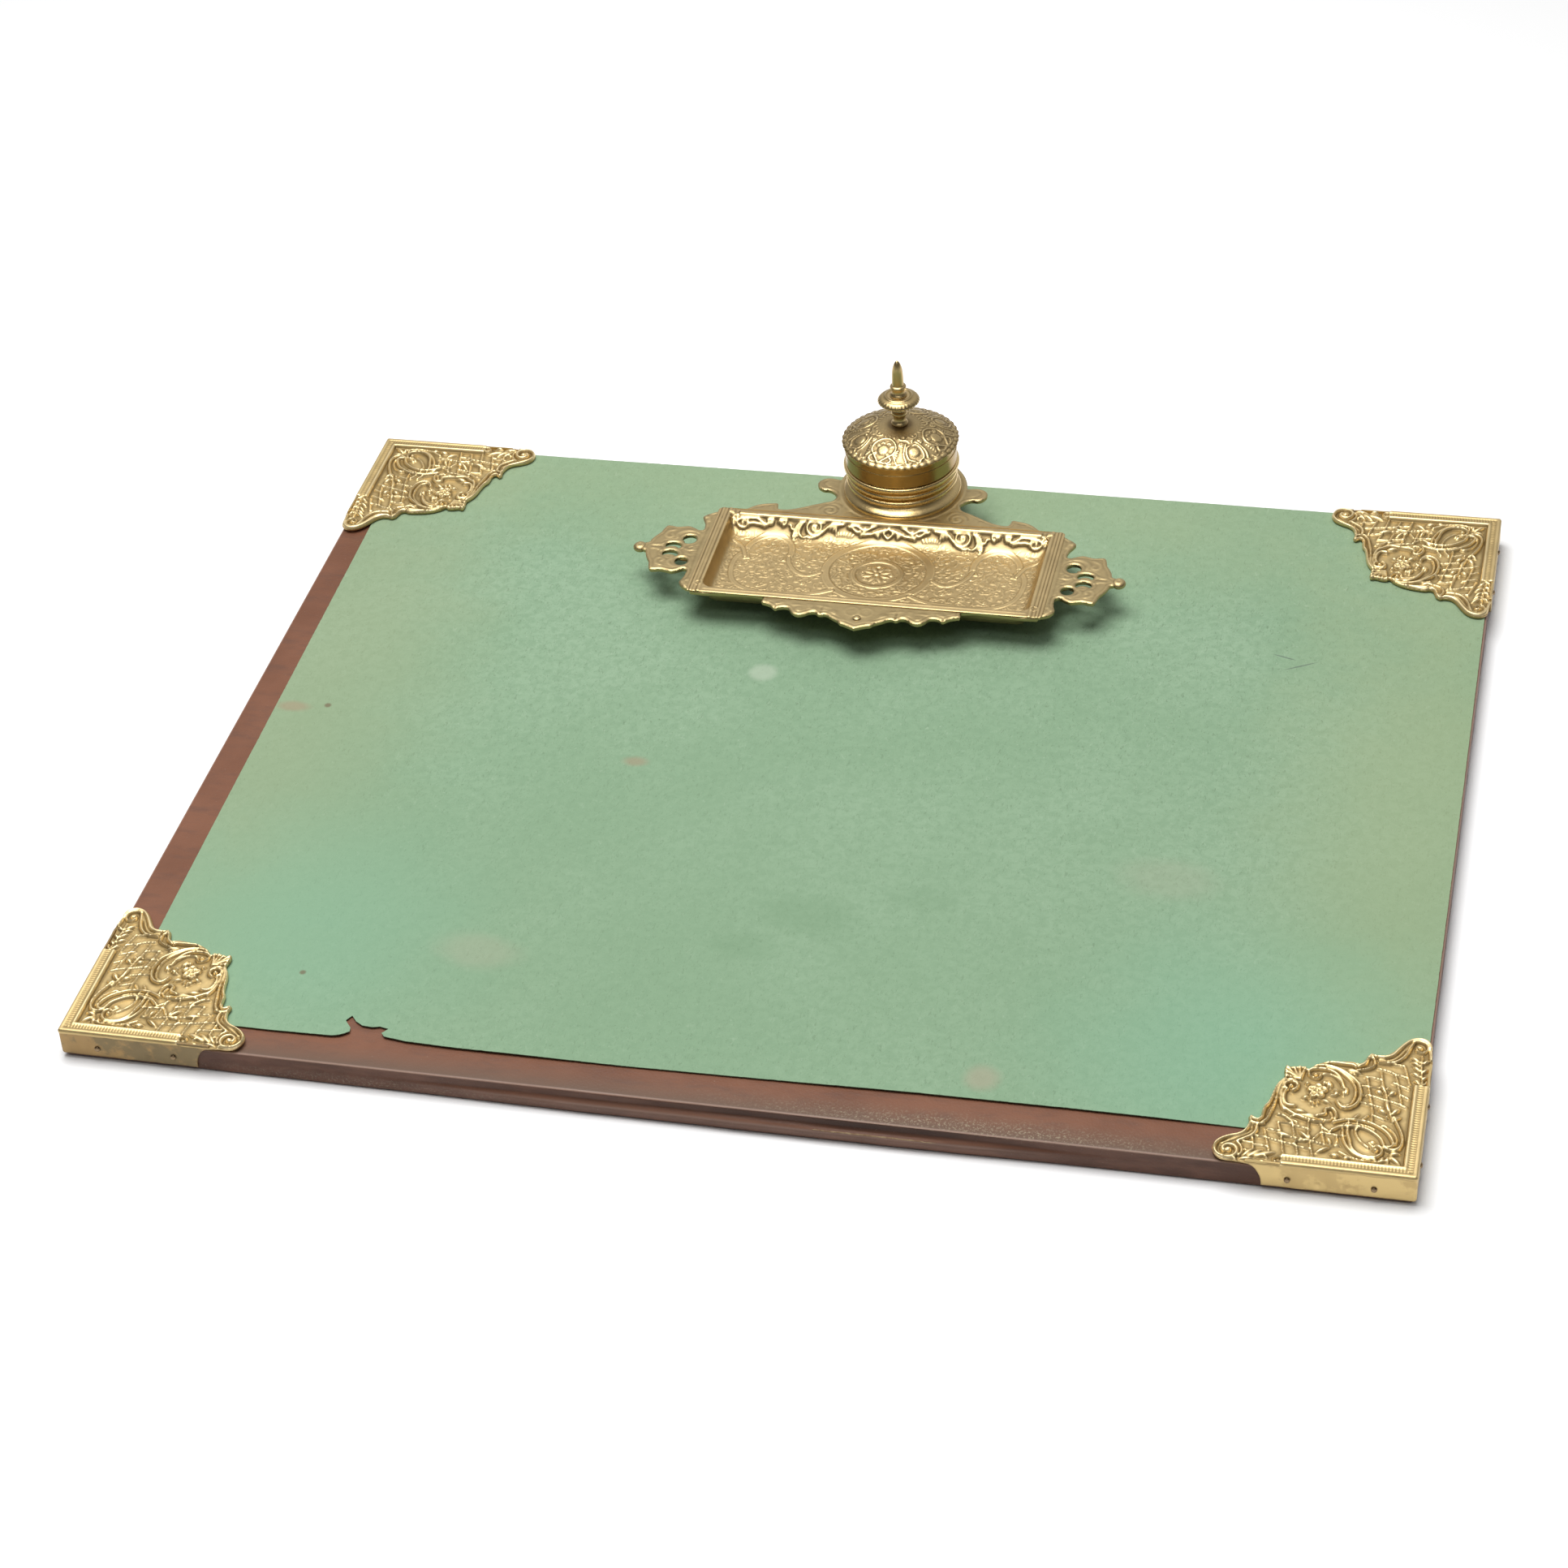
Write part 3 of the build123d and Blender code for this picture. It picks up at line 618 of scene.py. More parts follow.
M_FINIAL = brass("finial_brass_m", (0.70, 0.53, 0.27, 1), (0.58, 0.43, 0.205, 1), (0.20, 0.14, 0.06, 1),
                 (0.33, 0.46), (-0.45, 0.05), 0.6)
M_BAND = brass("band_brass_m", (0.45, 0.31, 0.12, 1), (0.40, 0.27, 0.10, 1), (0.18, 0.12, 0.04, 1),
               (0.24, 0.34), (-0.45, 0.05), 0.6)
M_PIN = brass("pin_brass_m", (0.40, 0.30, 0.17, 1), (0.30, 0.21, 0.12, 1), (0.16, 0.11, 0.07, 1),
              (0.35, 0.5), (-0.5, -0.1), 1.0)
M_UNDER = brass("stand_under_m", (0.50, 0.38, 0.20, 1), (0.42, 0.31, 0.16, 1), (0.18, 0.13, 0.07, 1),
                (0.42, 0.6), (-0.5, -0.1), 1.0, (0.14, 0.10, 0.06, 1), 0.5)


def leather_material():
    m = Nodes("leather_m")
    b = m.bsdf
    big = m.noise(14, 4, 0.6)
    streak = m.noise(55, 5, 0.6, m.stretch(1.0, 3.0, 4.0))
    grain = m.voronoi(950, "F1", rand=1.0)
    fine = m.noise(2400, 4, 0.6)
    g = m.t.nodes.new("ShaderNodeNewGeometry")
    sep = m.t.nodes.new("ShaderNodeSeparateXYZ")
    m.link(g.outputs["Normal"], sep.inputs[0])
    # painted shade: faces that turn away from up get the darker side colour below, up-facing faces the lighter face
    # colour
    top = m.ramp01(sep.outputs["Z"], 0.2, 0.95)
    side = m.mix(m.ramp01(streak, 0.3, 0.7), (0.092, 0.037, 0.020, 1), (0.150, 0.064, 0.037, 1))
    face = m.mix(m.ramp01(big, 0.35, 0.65), (0.160, 0.061, 0.029, 1), (0.210, 0.085, 0.044, 1))
    face = m.mix(m.math("MULTIPLY", m.ramp01(streak, 0.45, 0.75), 0.5), face, (0.105, 0.052, 0.036, 1))
    face = m.mix(m.math("MULTIPLY", m.attribute("rim"), 0.85), face, (0.128, 0.080, 0.053, 1))
    col = m.mix(top, side, face)
    # painted shade: near-black in the undercut below the fold of the front edge, carried by the crease attribute
    col = m.mix(m.math("MULTIPLY", m.attribute("crease"), 0.62), col, (0.026, 0.015, 0.011, 1))
    # painted highlight: a light line along the fold ridge and light bands on the top of the front roll, carried by the
    # edge attribute
    edge = m.attribute("edge")
    col = m.mix(m.math("MULTIPLY", edge, 0.70), col, (0.40, 0.265, 0.205, 1))
    scuff = m.math("MULTIPLY", m.attribute("scuff"), m.ramp01(m.noise(900, 6, 0.75), 0.50, 0.62))
    col = m.mix(m.math("MULTIPLY", scuff, 0.8), col, (0.36, 0.30, 0.20, 1))
    speck = m.math("MULTIPLY", m.ramp01(m.noise(1500, 2, 0.5), 0.72, 0.76), 0.5)
    col = m.mix(speck, col, (0.34, 0.26, 0.20, 1))
    m.put(b.inputs["Base Color"], col)
    m.put(b.inputs["Roughness"], m.math("ADD", 0.44, m.math("MULTIPLY", m.ramp01(big, 0.3, 0.7), 0.16)))
    b.inputs["Specular IOR Level"].default_value = 0.36
    h = m.math("ADD", m.math("MULTIPLY", grain, 0.8), m.math("MULTIPLY", fine, 0.2))
    nb = m.bump(h, 0.22, 0.0004)
    nb = m.bump(m.noise(120, 3, 0.5), 0.20, 0.0012, nb)
    m.put(b.inputs["Normal"], nb)
    return m.mat


def paper_material():
    m = Nodes("blotting_paper_m")
    b = m.bsdf
    b.inputs["Roughness"].default_value = 0.92
    b.inputs["Specular IOR Level"].default_value = 0.12
    b.inputs["Sheen Weight"].default_value = 0.12
    warp = m.noise(26, 5, 0.6)
    big = m.noise(7, 4, 0.6)
    mot = m.noise(240, 5, 0.62, dist=0.6)
    fib = m.noise(520, 6, 0.68, m.stretch(1.0, 0.55, 1.0, rot=(0, 0, 0.5)), dist=1.2)
    col = m.mix(m.ramp01(big, 0.34, 0.66), (0.242, 0.368, 0.233, 1), (0.280, 0.406, 0.269, 1))
    col = m.mix(m.math("MULTIPLY", m.ramp01(mot, 0.36, 0.66), 0.62), col, (0.205, 0.320, 0.200, 1))
    col = m.mix(m.math("MULTIPLY", m.ramp01(fib, 0.56, 0.72), 0.60), col, (0.35, 0.47, 0.33, 1))
    dark = m.ramp01(m.noise(800, 5, 0.7, dist=0.8), 0.63, 0.72)
    col = m.mix(m.math("MULTIPLY", dark, 0.6), col, (0.11, 0.17, 0.11, 1))
    for sc, a, b0 in ((1050, 1.45, 0.640), (1150, 2.5, 0.655), (1000, 0.4, 0.660)):
        strand = m.ramp01(m.noise(sc, 2, 0.5, m.stretch(1.0, 0.34, 1.0, rot=(0, 0, a)), dist=1.1), b0, b0 + 0.05)
        col = m.mix(m.math("MULTIPLY", strand, 0.36), col, (0.10, 0.145, 0.085, 1))
    # Faded towards the sides, fresher beside the brass.
    for x, y, r, c, k, sx, sy in (
            (-0.255, -0.02, 0.055, (0.300, 0.356, 0.210, 1), 0.55, 1.0, 0.22),
            (0.262, -0.02, 0.050, (0.314, 0.380, 0.212, 1), 0.55, 1.0, 0.22),
            (0.0, 0.215, 0.050, (0.320, 0.395, 0.228, 1), 0.45, 0.2, 1.0),
            (0.205, -0.165, 0.060, (0.215, 0.430, 0.290, 1), 0.55, 1.0, 1.0),
            (-0.205, -0.150, 0.060, (0.225, 0.440, 0.300, 1), 0.50, 1.0, 1.0),
            (-0.02, -0.115, 0.130, (0.215, 0.330, 0.205, 1), 0.45, 0.6, 1.0)):
        s = m.spot(x, y, r, 0.9, warp, sx, sy)
        col = m.mix(m.math("MULTIPLY", s, k), col, c)
    # Old water marks, an ink stroke or two, pale and rusty spots.
    for x, y, r, c, k, sx, sy, soft in (
            (0.014, -0.107, 0.013, (0.160, 0.270, 0.155, 1), 0.30, 0.6, 1.0, 0.45),
            (-0.009, -0.130, 0.009, (0.160, 0.270, 0.155, 1), 0.28, 0.6, 1.0, 0.45),
            (0.060, -0.090, 0.008, (0.170, 0.280, 0.165, 1), 0.24, 0.5, 1.0, 0.5),
            (-0.045, 0.061, 0.006, (0.42, 0.50, 0.38, 1), 0.6, 1.0, 1.0, 0.4),
            (0.104, -0.196, 0.007, (0.38, 0.33, 0.24, 1), 0.55, 1.0, 1.0, 0.5),
            (-0.087, -0.013, 0.0035, (0.36, 0.22, 0.15, 1), 0.45, 0.6, 1.0, 0.5),
            (-0.255, 0.005, 0.0035, (0.36, 0.22, 0.15, 1), 0.45, 0.5, 1.0, 0.5),
            (-0.239, 0.008, 0.0016, (0.16, 0.10, 0.06, 1), 0.7, 1.0, 1.0, 0.4),
            (-0.190, -0.175, 0.0014, (0.16, 0.10, 0.06, 1), 0.7, 1.0, 1.0, 0.4),
            (-0.120, -0.150, 0.010, (0.36, 0.36, 0.26, 1), 0.35, 0.6, 1.0, 0.5),
            (0.160, -0.060, 0.012, (0.34, 0.36, 0.26, 1), 0.30, 0.6, 1.0, 0.5)):
        s = m.spot(x, y, r, soft, warp, sx, sy)
        col = m.mix(m.math("MULTIPLY", s, k), col, c)
    for x0, y0, dx, sc, rot in ((0.198, 0.100, 0.010, 1.0, 0.5), (0.190, 0.106, 0.007, 1.0, -0.3)):
        n = m.t.nodes.new("ShaderNodeMapping")
        n.vector_type = "TEXTURE"
        n.inputs["Location"].default_value = (x0, y0, 0)
        n.inputs["Rotation"].default_value = (0, 0, rot)
        n.inputs["Scale"].default_value = (dx, 0.0006, 1.0)
        m.link(m.co, n.inputs["Vector"])
        v = m.t.nodes.new("ShaderNodeVectorMath")
        v.operation = "MULTIPLY"
        v.inputs[1].default_value = (1, 1, 0)
        m.link(n.outputs[0], v.inputs[0])
        ln = m.t.nodes.new("ShaderNodeVectorMath")
        ln.operation = "LENGTH"
        m.link(v.outputs[0], ln.inputs[0])
        s = m.math("SUBTRACT", 1.0, m.ramp01(ln.outputs["Value"], 0.5, 1.0))
        col = m.mix(m.math("MULTIPLY", s, 0.55), col, (0.09, 0.10, 0.10, 1))
    m.put(b.inputs["Base Color"], col)
    h = m.math("ADD", m.math("MULTIPLY", mot, 0.5), m.math("MULTIPLY", fib, 0.5))
    nb = m.bump(h, 0.35, 0.0006)
    nb = m.bump(m.noise(45, 3, 0.5), 0.15, 0.002, nb)
    m.put(b.inputs["Normal"], nb)
    return m.mat


def plain(name, a, b_col, rough, scale, bump=0.1, spec=0.5, stretch=None):
    m = Nodes(name)
    co = None if stretch is None else m.stretch(*stretch)
    n1 = m.noise(scale, 5, 0.6, co)
    n2 = m.noise(scale * 7, 4, 0.6, co)
    col = m.mix(m.ramp01(n1, 0.35, 0.65), a, b_col)
    col = m.mix(m.math("MULTIPLY", m.ramp01(n2, 0.55, 0.75), 0.35), col, tuple(0.6 * c for c in a[:3]) + (1,))
    m.put(m.bsdf.inputs["Base Color"], col)
    m.put(m.bsdf.inputs["Roughness"], m.math("ADD", rough, m.math("MULTIPLY", m.math("SUBTRACT", n2, 0.5), 0.15)))
    m.bsdf.inputs["Specular IOR Level"].default_value = spec
    m.put(m.bsdf.inputs["Normal"], m.bump(n2, bump, 0.0005))
    return m.mat


M_LEATHER = leather_material()
M_PAPER = paper_material()
# painted shade: a near-black sheet under the paper that stands in for the shadow in the gap under its edge
M_GAP_SHADE = plain("gap_shade_paper_m", (0.010, 0.012, 0.010, 1), (0.020, 0.022, 0.018, 1), 0.9, 120, 0.2, 0.1)
M_BOARD = plain("board_m", (0.30, 0.20, 0.11, 1), (0.22, 0.14, 0.08, 1), 0.75, 40, 0.3, 0.3, (1, 8, 8))
M_LINING = plain("lining_m", (0.045, 0.030, 0.024, 1), (0.065, 0.045, 0.034, 1), 0.9, 500, 0.5, 0.1)
M_RAW = plain("leather_raw_edge_m", (0.42, 0.31, 0.18, 1), (0.26, 0.16, 0.09, 1), 0.8, 500, 0.4, 0.2)
M_STEEL = plain("porcelain_m", (0.80, 0.80, 0.76, 1), (0.72, 0.72, 0.67, 1), 0.12, 60, 0.02, 0.5)


# ===================================================================== corners
PAD_W, PAD_D = 558.8, 457.2
corner_edge = [
    (71.2, 0.6), (74.0, 0.5), (76.6, 1.1), (78.8, 3.0), (79.9, 6.0), (79.5, 9.0),
    (77.6, 11.7), (74.2, 13.8), (71.2, 15.2), (69.2, 17.0), (68.1, 19.8), (67.6, 22.4),
    (67.9, 25.6), (66.9, 26.5), (65.7, 25.8), (64.6, 25.1), (63.6, 26.4), (63.3, 29.6),
    (62.9, 32.2), (61.8, 34.2), (60.9, 38.0), (60.1, 43.0), (59.0, 46.3), (57.4, 49.1),
    (56.9, 51.0), (57.3, 53.8), (56.9, 56.9), (54.4, 56.6), (51.8, 57.4), (49.2, 57.4),
    (48.0, 56.5), (46.2, 58.4), (43.4, 60.4), (39.6, 62.0), (35.1, 62.9), (30.8, 63.3),
    (28.8, 62.7), (27.4, 63.3), (26.3, 65.6), (25.6, 67.8), (23.8, 69.2), (21.8, 68.7),
    (19.0, 69.0), (16.8, 70.7), (15.0, 73.4), (12.9, 76.8), (10.6, 79.5), (7.9, 81.1),
    (5.1, 81.4), (2.9, 80.5), (1.2, 78.3), (0.7, 74.0), (0.3, 70.0),
]
t = np.radians(np.linspace(180, 270, 7))
corner_loop = np.vstack([curve(corner_edge, 5), [(0.0, 66.0)],
                         np.c_[1.3 + 1.3 * np.cos(t), 1.3 + 1.3 * np.sin(t)], [(66.0, 0.0)]])


def corner_relief():
    g = 0.34
    R = Relief(np.arange(-1.1, 82.4, g), np.arange(-1.1, 83.2, g))
    X, Y = R.X, R.Y
    D = sdf_poly(X, Y, corner_loop)
    Dfree = sdf_poly(X, Y, np.vstack([corner_loop[:len(curve(corner_edge, 5))], [(-60, 66), (-60, -60), (66, -60)]]))
    R.H += 0.05 * lumps(X, Y, 2.2, 3)
    # trellis
    bars = [
        [(64.2, 15.5), (60, 15), (55, 13.8), (49, 12.8)], [(59.8, 20), (55.8, 19.6)],
        [(56.6, 24.5), (52, 24.4), (50, 23.6), (46, 22.8), (43.9, 22)],
        [(64, 10.4), (60, 10.2), (58.5, 9.6)], [(50, 13), (47.6, 12), (42.5, 11.4)],
        [(39.5, 21.2), (35, 20.6), (30, 20.4)], [(68.5, 11.4), (65, 11.3)], [(51, 26.6), (49, 25.4)],
        [(65.2, 14.5), (64.2, 8)], [(61.2, 20), (59.9, 14.5), (58.2, 8)],
        [(56.3, 23.8), (55, 19.5), (53.7, 13.5), (52.6, 7)], [(50.8, 25.5), (50.3, 22), (49.4, 18.4)],
        [(48.3, 13), (47, 7.8)], [(43, 14.5), (41.3, 7.2)], [(39.6, 25.6), (38.6, 20), (37.6, 15.4)],
        [(33.2, 20.3), (32.8, 16.5)], [(41.8, 17.2), (40, 20.4)], [(40.2, 25.4), (36, 21.5)],
        [(44.8, 26.2), (44.4, 20.5), (43.8, 15.8)],
        [(21, 61.2), (18, 60.6), (15.5, 59.8), (14, 58.8), (11, 58.2), (8.8, 57)],
        [(25.4, 55.6), (21.4, 55.5), (19.4, 54.8)], [(14.5, 53.8), (11.8, 52.6), (8, 51)],
        [(26, 50.2), (21, 50), (17.6, 50.2)], [(24, 45.3), (21.4, 44.8), (16.5, 43.2), (13, 42.4), (8, 40.2)],
        [(10.8, 47.2), (7.6, 45.3)], [(26, 40.6), (21.5, 39.8), (17, 38.6)], [(20.4, 33.9), (16, 32)],
        [(15, 64.6), (11.5, 64.3)],
        [(24.6, 55.3), (23.6, 49.8), (22.4, 44), (21.2, 38), (20.5, 30)],
        [(19.5, 59.5), (18.5, 53), (17.3, 49.5), (16.4, 46), (15.2, 41), (13.9, 35.6), (12.6, 31)],
        [(14, 59), (12.4, 52.6), (11, 46), (10.2, 41)], [(11, 64.5), (9.6, 59.5), (8, 53.5)],
        [(26, 33.5), (28, 30.4)], [(22.4, 33.5), (24.3, 30.6)],
    ]
    for b in bars:
        R.ridge(b, 0.50, 1.30, power=0.4)
    # horizontal volute and its leaves
    R.ridge([(67.5, 21.6), (67.5, 19.4), (68.9, 17), (71.2, 15), (74.2, 13.2), (77, 11.1), (78.9, 8.4),
             (79.1, 5.6), (77.9, 2.9), (75.8, 1.5), (73.5, 1.2), (71.4, 2.2), (70.3, 4.2), (70.5, 6.4),
             (71.8, 8), (73.6, 8.4), (75.3, 7.5), (75.9, 6), (75.3, 4.8)], 0.95, 2.05)
    R.dot((73.6, 5.7), 1.6, 2.0)
    R.ridge([(64.2, 20.5), (64.3, 17.8), (65.6, 15.2), (67.8, 13.2), (70.3, 11.3)], 0.85, 1.8)
    R.ridge([(71.2, 10.9), (69.7, 9.6), (68.7, 7.6), (68.4, 5.2), (69.2, 3.2)], 0.65, 1.55)
    R.ridge([(65.9, 21.2), (65.9, 18.2), (67.3, 16.0), (70.2, 13.6), (74.0, 11.2), (76.6, 9.0)], 0.6, 1.1)
    R.ridge([(67.2, 25.8), (67, 23.6), (65.8, 22.3), (64, 21.9), (61.8, 22.5)], 0.75, 1.9)
    for p0, p1, w in (((68, 3), (63.6, 8.6), 1.0), ((66.4, 2.8), (60, 8.4), 1.1), ((64, 3.6), (54.8, 7.6), 1.3),
                      ((69.6, 1.6), (62.2, 2.6), 0.75), ((67.5, 8), (66.5, 5.5), 0.6),
                      ((62, 1.3), (57.8, 1.1), 0.8)):
        R.leaf(p0, p1, w, 1.7)
    R.ridge([(61.5, 4.5), (60, 4.9), (58.4, 3.6)], 0.5, 1.5)
    R.ring((54.2, 3.2), 1.6, 0.55, 1.7)
    # sprig between the trellis bars
    R.ridge([(50, 16.6), (43, 15.7), (36, 14.2), (31.5, 14.6)], 0.45, 1.6)
    for p0, p1, w in (((57, 18.4), (49.5, 16.5), 1.15), ((48.3, 21), (42.8, 15.6), 0.9), ((43.9, 19.5), (42.9, 15.8), 0.65),
                      ((37, 19), (34.8, 14.8), 0.85), ((40.4, 9.4), (34.6, 13.4), 0.95), ((35, 9.4), (30.5, 8.3), 1.35),
                      ((30, 7.9), (26.5, 8.2), 1.0)):
        R.leaf(p0, p1, w, 1.9)
    R.ridge([(49, 13.2), (48.2, 14.8), (45.5, 15.2), (43.6, 15.6)], 0.5, 1.6)
    # oval cartouche towards the outer corner
    Dc = sdf_poly(X, Y, curve([(27.6, 26.5), (28.6, 21), (26.6, 14.5), (22, 11), (18, 11.5), (15.4, 13.5),
                               (12.8, 17), (11.6, 21), (13.5, 25), (18, 27.6), (23, 28.6)], 4, closed=True))
    R.H = np.maximum(R.H, 0.50 * smooth01(Dc / 6.0))
    R.ridge([(29.4, 24.5), (29.2, 22), (28.2, 18.5), (27.3, 15), (25.6, 12.2), (22.9, 10.2), (19.9, 9.6),
             (17, 10.2), (15.4, 12), (15.2, 14.3), (16.1, 16), (17.7, 16.3)], 0.75, 1.9)
    R.dot((17.6, 13.9), 1.15, 2.1)
    R.ridge([(31.2, 24.0), (30.8, 20), (29.6, 16.4), (27.6, 12.8), (24.6, 10), (20.5, 8.6), (17, 8.9)], 0.6, 1.6)
    R.ridge([(31.5, 11.4), (29, 9.8), (26, 8.4), (21, 7.5), (16.5, 7.7), (13, 9.0)], 0.6, 1.5)
    R.ridge([(26.4, 25), (26, 22.5), (24.8, 19.8), (22.9, 17.3), (20.5, 15.2)], 0.5, 1.55)
    R.ridge([(35.4, 27.3), (30, 29.5), (26, 29.6), (21.5, 29), (18.5, 27.6), (15, 25.2), (12.9, 22.6),
             (11.5, 19.5), (11.3, 17.6), (12.2, 16.4), (13.6, 16.4)], 0.75, 1.95)
    R.ridge([(35.4, 22.6), (32.6, 24.8), (29.5, 25.8), (25.8, 26.1), (22, 25.1), (18.6, 22.9), (16.3, 20.6),
             (15.2, 18.2), (14.3, 15.9), (12.6, 14.9), (10.6, 15), (8.8, 16.4), (7.9, 19), (8.1, 22.5),
             (9.2, 26.4), (10.6, 29.6), (12.2, 33.4)], 0.75, 2.0)
    R.ridge([(14.9, 27.6), (12.4, 25.8), (10.8, 23.4), (10, 20.5), (10.2, 18)], 0.5, 1.6)
    R.ridge([(33.5, 25.2), (30, 27.7), (26, 27.9), (22, 27.2), (19, 25.8)], 0.45, 1.4)
    R.leaf((17.5, 28.2), (13.8, 28), 0.9, 1.7)
    R.leaf((20.3, 19.4), (17.8, 17.3), 0.8, 1.7)
    R.ridge([(20.6, 18), (18.6, 15.6)], 0.5, 1.6)
    R.ridge([(29.3, 28.8), (28.9, 24.5)], 0.45, 1.5)
    R.ridge([(26, 28.6), (25.6, 24.5)], 0.45, 1.5)
    for p0, p1, w in (((12.6, 12.6), (7.4, 13.6), 0.95), ((12.6, 12), (7.2, 7.2), 1.1), ((13, 11.4), (12.2, 7.4), 0.9),
                      ((12.2, 13.4), (7.6, 16.2), 0.7), ((14.2, 11.2), (15.4, 7.4), 0.7)):
        R.leaf(p0, p1, w, 1.8)
    # shell at the inner tip
    for e in ((57, 51.5), (57.1, 54.4), (56.7, 56.6), (54, 57), (51.5, 57.2), (49.1, 57.2)):
        R.ridge([(50.2, 49.8), ((50.2 + e[0]) / 2 + 0.2, (49.8 + e[1]) / 2), e], (0.35, 0.85), (1.5, 2.1))
    # acanthus scroll on the left of the flower
    R.dot((53.7, 45.5), 1.1, 2.1)
    R.ring((53.7, 45.5), 2.5, 0.75, 2.0, a0=-60, a1=250)
    R.ridge([(50.9, 46.5), (52, 48.6), (54, 49.2), (56.4, 48.6)], 0.6, 1.9)
    R.ridge([(56.8, 49), (58.4, 46.6), (59.4, 43.5), (60.2, 39.5), (61, 35.5), (62.2, 32.4), (62.8, 29.8), (62.9, 27.2)], 0.8, 2.1)
    R.ridge([(56.3, 48), (57.4, 46), (58.1, 43), (58.4, 39), (58.9, 34.5), (59.7, 30.5), (60.3, 27.5), (61, 24.8), (62.5, 23)], 0.7, 1.9)
    R.ridge([(55.8, 46.6), (56.7, 44), (57, 40), (56.8, 36.5), (56, 33.5), (55, 31.5)], 0.65, 1.75)
    R.ridge([(55, 44), (55.8, 41), (55.6, 37.5), (54.3, 34.8), (52.5, 34.4), (51.2, 34.6)], (0.6, 0.9), 1.8)
    R.ridge([(57, 38), (56, 34), (53.5, 31.5), (50.5, 29.5), (47, 28), (43, 27), (39.5, 26.7)], (0.9, 0.6), 1.85)
    R.ridge([(57, 28.8), (54.5, 28.2), (52.3, 26.5), (50.6, 24.5)], 0.6, 1.6)
    R.leaf((51.5, 32.4), (45.8, 31.2), 1.2, 1.9)
    R.ridge([(50, 29), (45, 29.8), (41.5, 30)], (0.9, 0.6), 1.8)
    R.ridge([(52, 28.4), (47, 28.9), (42, 28.6), (38.6, 28.2)], 0.5, 1.5)
    R.ridge([(41.5, 30.2), (38.8, 31.6), (38.9, 34.2), (36.6, 35), (35.1, 33.4), (34.5, 31), (34.8, 28.8)], 0.75, 1.95)
    R.ridge([(37, 33), (36, 30.5), (36.4, 28.6), (38.6, 27.6)], 0.5, 1.6)
    # flower with buds and small leaves
    for c in ((43.1, 46.7), (40.9, 45.3), (41.8, 42.2), (44.5, 42.0), (45.5, 45.1)):
        R.dot(c, 1.5, 1.35)
        R.ring(c, 1.25, 0.5, 1.9)
    R.dot((43.2, 44.2), 0.9, 2.1)
    R.dot((47.5, 48), 1.0, 2.0)
    for p0, p1, w in (((40.9, 50.8), (41.1, 47.9), 0.9), ((39.2, 51.4), (39.4, 46.8), 1.0), ((38.4, 50.0), (38.2, 46.8), 0.6),
                      ((37.6, 46.2), (34.6, 45.4), 0.7), ((37.2, 44.2), (33.9, 43.6), 0.8), ((38.6, 42.5), (35.0, 42.9), 0.6),
                      ((48.9, 39.3), (45.6, 40.6), 0.9), ((45.6, 40.2), (45.4, 37.2), 0.7), ((44.5, 38.8), (43.9, 35.4), 0.7),
                      ((42.7, 39.4), (42.3, 36.4), 0.7), ((41.4, 39.6), (36.9, 37.7), 0.95)):
        R.leaf(p0, p1, w, 1.95)
    # upper arc scroll
    R.ridge([(47.6, 54.5), (47.2, 52.9), (45.8, 51.6), (44.2, 51.3), (43, 52.4), (42.9, 54)], 0.6, 2.0)
    R.dot((44.8, 53.6), 0.9, 2.0)
    R.ridge([(46.8, 56.6), (43, 57.3), (39.5, 56.8), (36.6, 55), (34.8, 52.4), (33.9, 49.8)], 0.75, 1.95)
    R.ridge([(42, 54.5), (39, 54.6), (36.6, 53.2), (35, 51)], 0.55, 1.6)
    R.ridge([(45.5, 58.6), (41, 59.2), (37, 58.4), (33.5, 56.5), (30, 53.5), (27.6, 50.5), (26.5, 46.5),
             (26.4, 42.5), (27.4, 39), (29.5, 36.6), (32.2, 35.9), (34, 37.3), (35, 39.5)], 0.8, 2.05)
    R.ridge([(46, 59.4), (42.5, 61), (38, 61.4), (33, 61.3), (30.6, 61.2), (29.6, 60.3)], 0.8, 2.1)
    R.ridge([(41, 58.3), (37, 57.4), (33.5, 55), (30.6, 52), (28.9, 49), (28.3, 45.5), (28.6, 41.5),
             (29.8, 38.6), (32, 37.3), (33.8, 38.2)], 0.55, 1.6)
    R.ridge([(36.2, 58.4), (33.5, 57.6), (30.5, 56.4), (29.0, 56.0)], 0.5, 1.5)
    for p0, p1, w in (((33.5, 58.8), (26.7, 57.0), 1.0), ((28.5, 50.6), (25.6, 51.4), 0.7), ((26.4, 44.9), (24.4, 44.1), 0.6),
                      ((32.3, 48.8), (31.8, 43.6), 0.8), ((33.6, 46.6), (32.6, 43.0), 0.6), ((34.0, 50.4), (33.0, 47.0), 0.8)):
        R.leaf(p0, p1, w, 1.9)
    R.ridge([(34.4, 38.4), (33.3, 36.4), (30.8, 36.2)], 0.6, 1.9)
    # small curl at the top
    R.ridge([(24.2, 68.6), (25.4, 66), (26.2, 62.9), (28.5, 60.8)], 0.75, 2.05)
    R.ridge([(24.2, 68.6), (23.2, 66.6), (22.5, 64.3), (22.9, 61.8), (25, 60.0), (29, 58.6)], 0.6, 1.85)
    R.dot((24.4, 66.6), 0.9, 1.9)
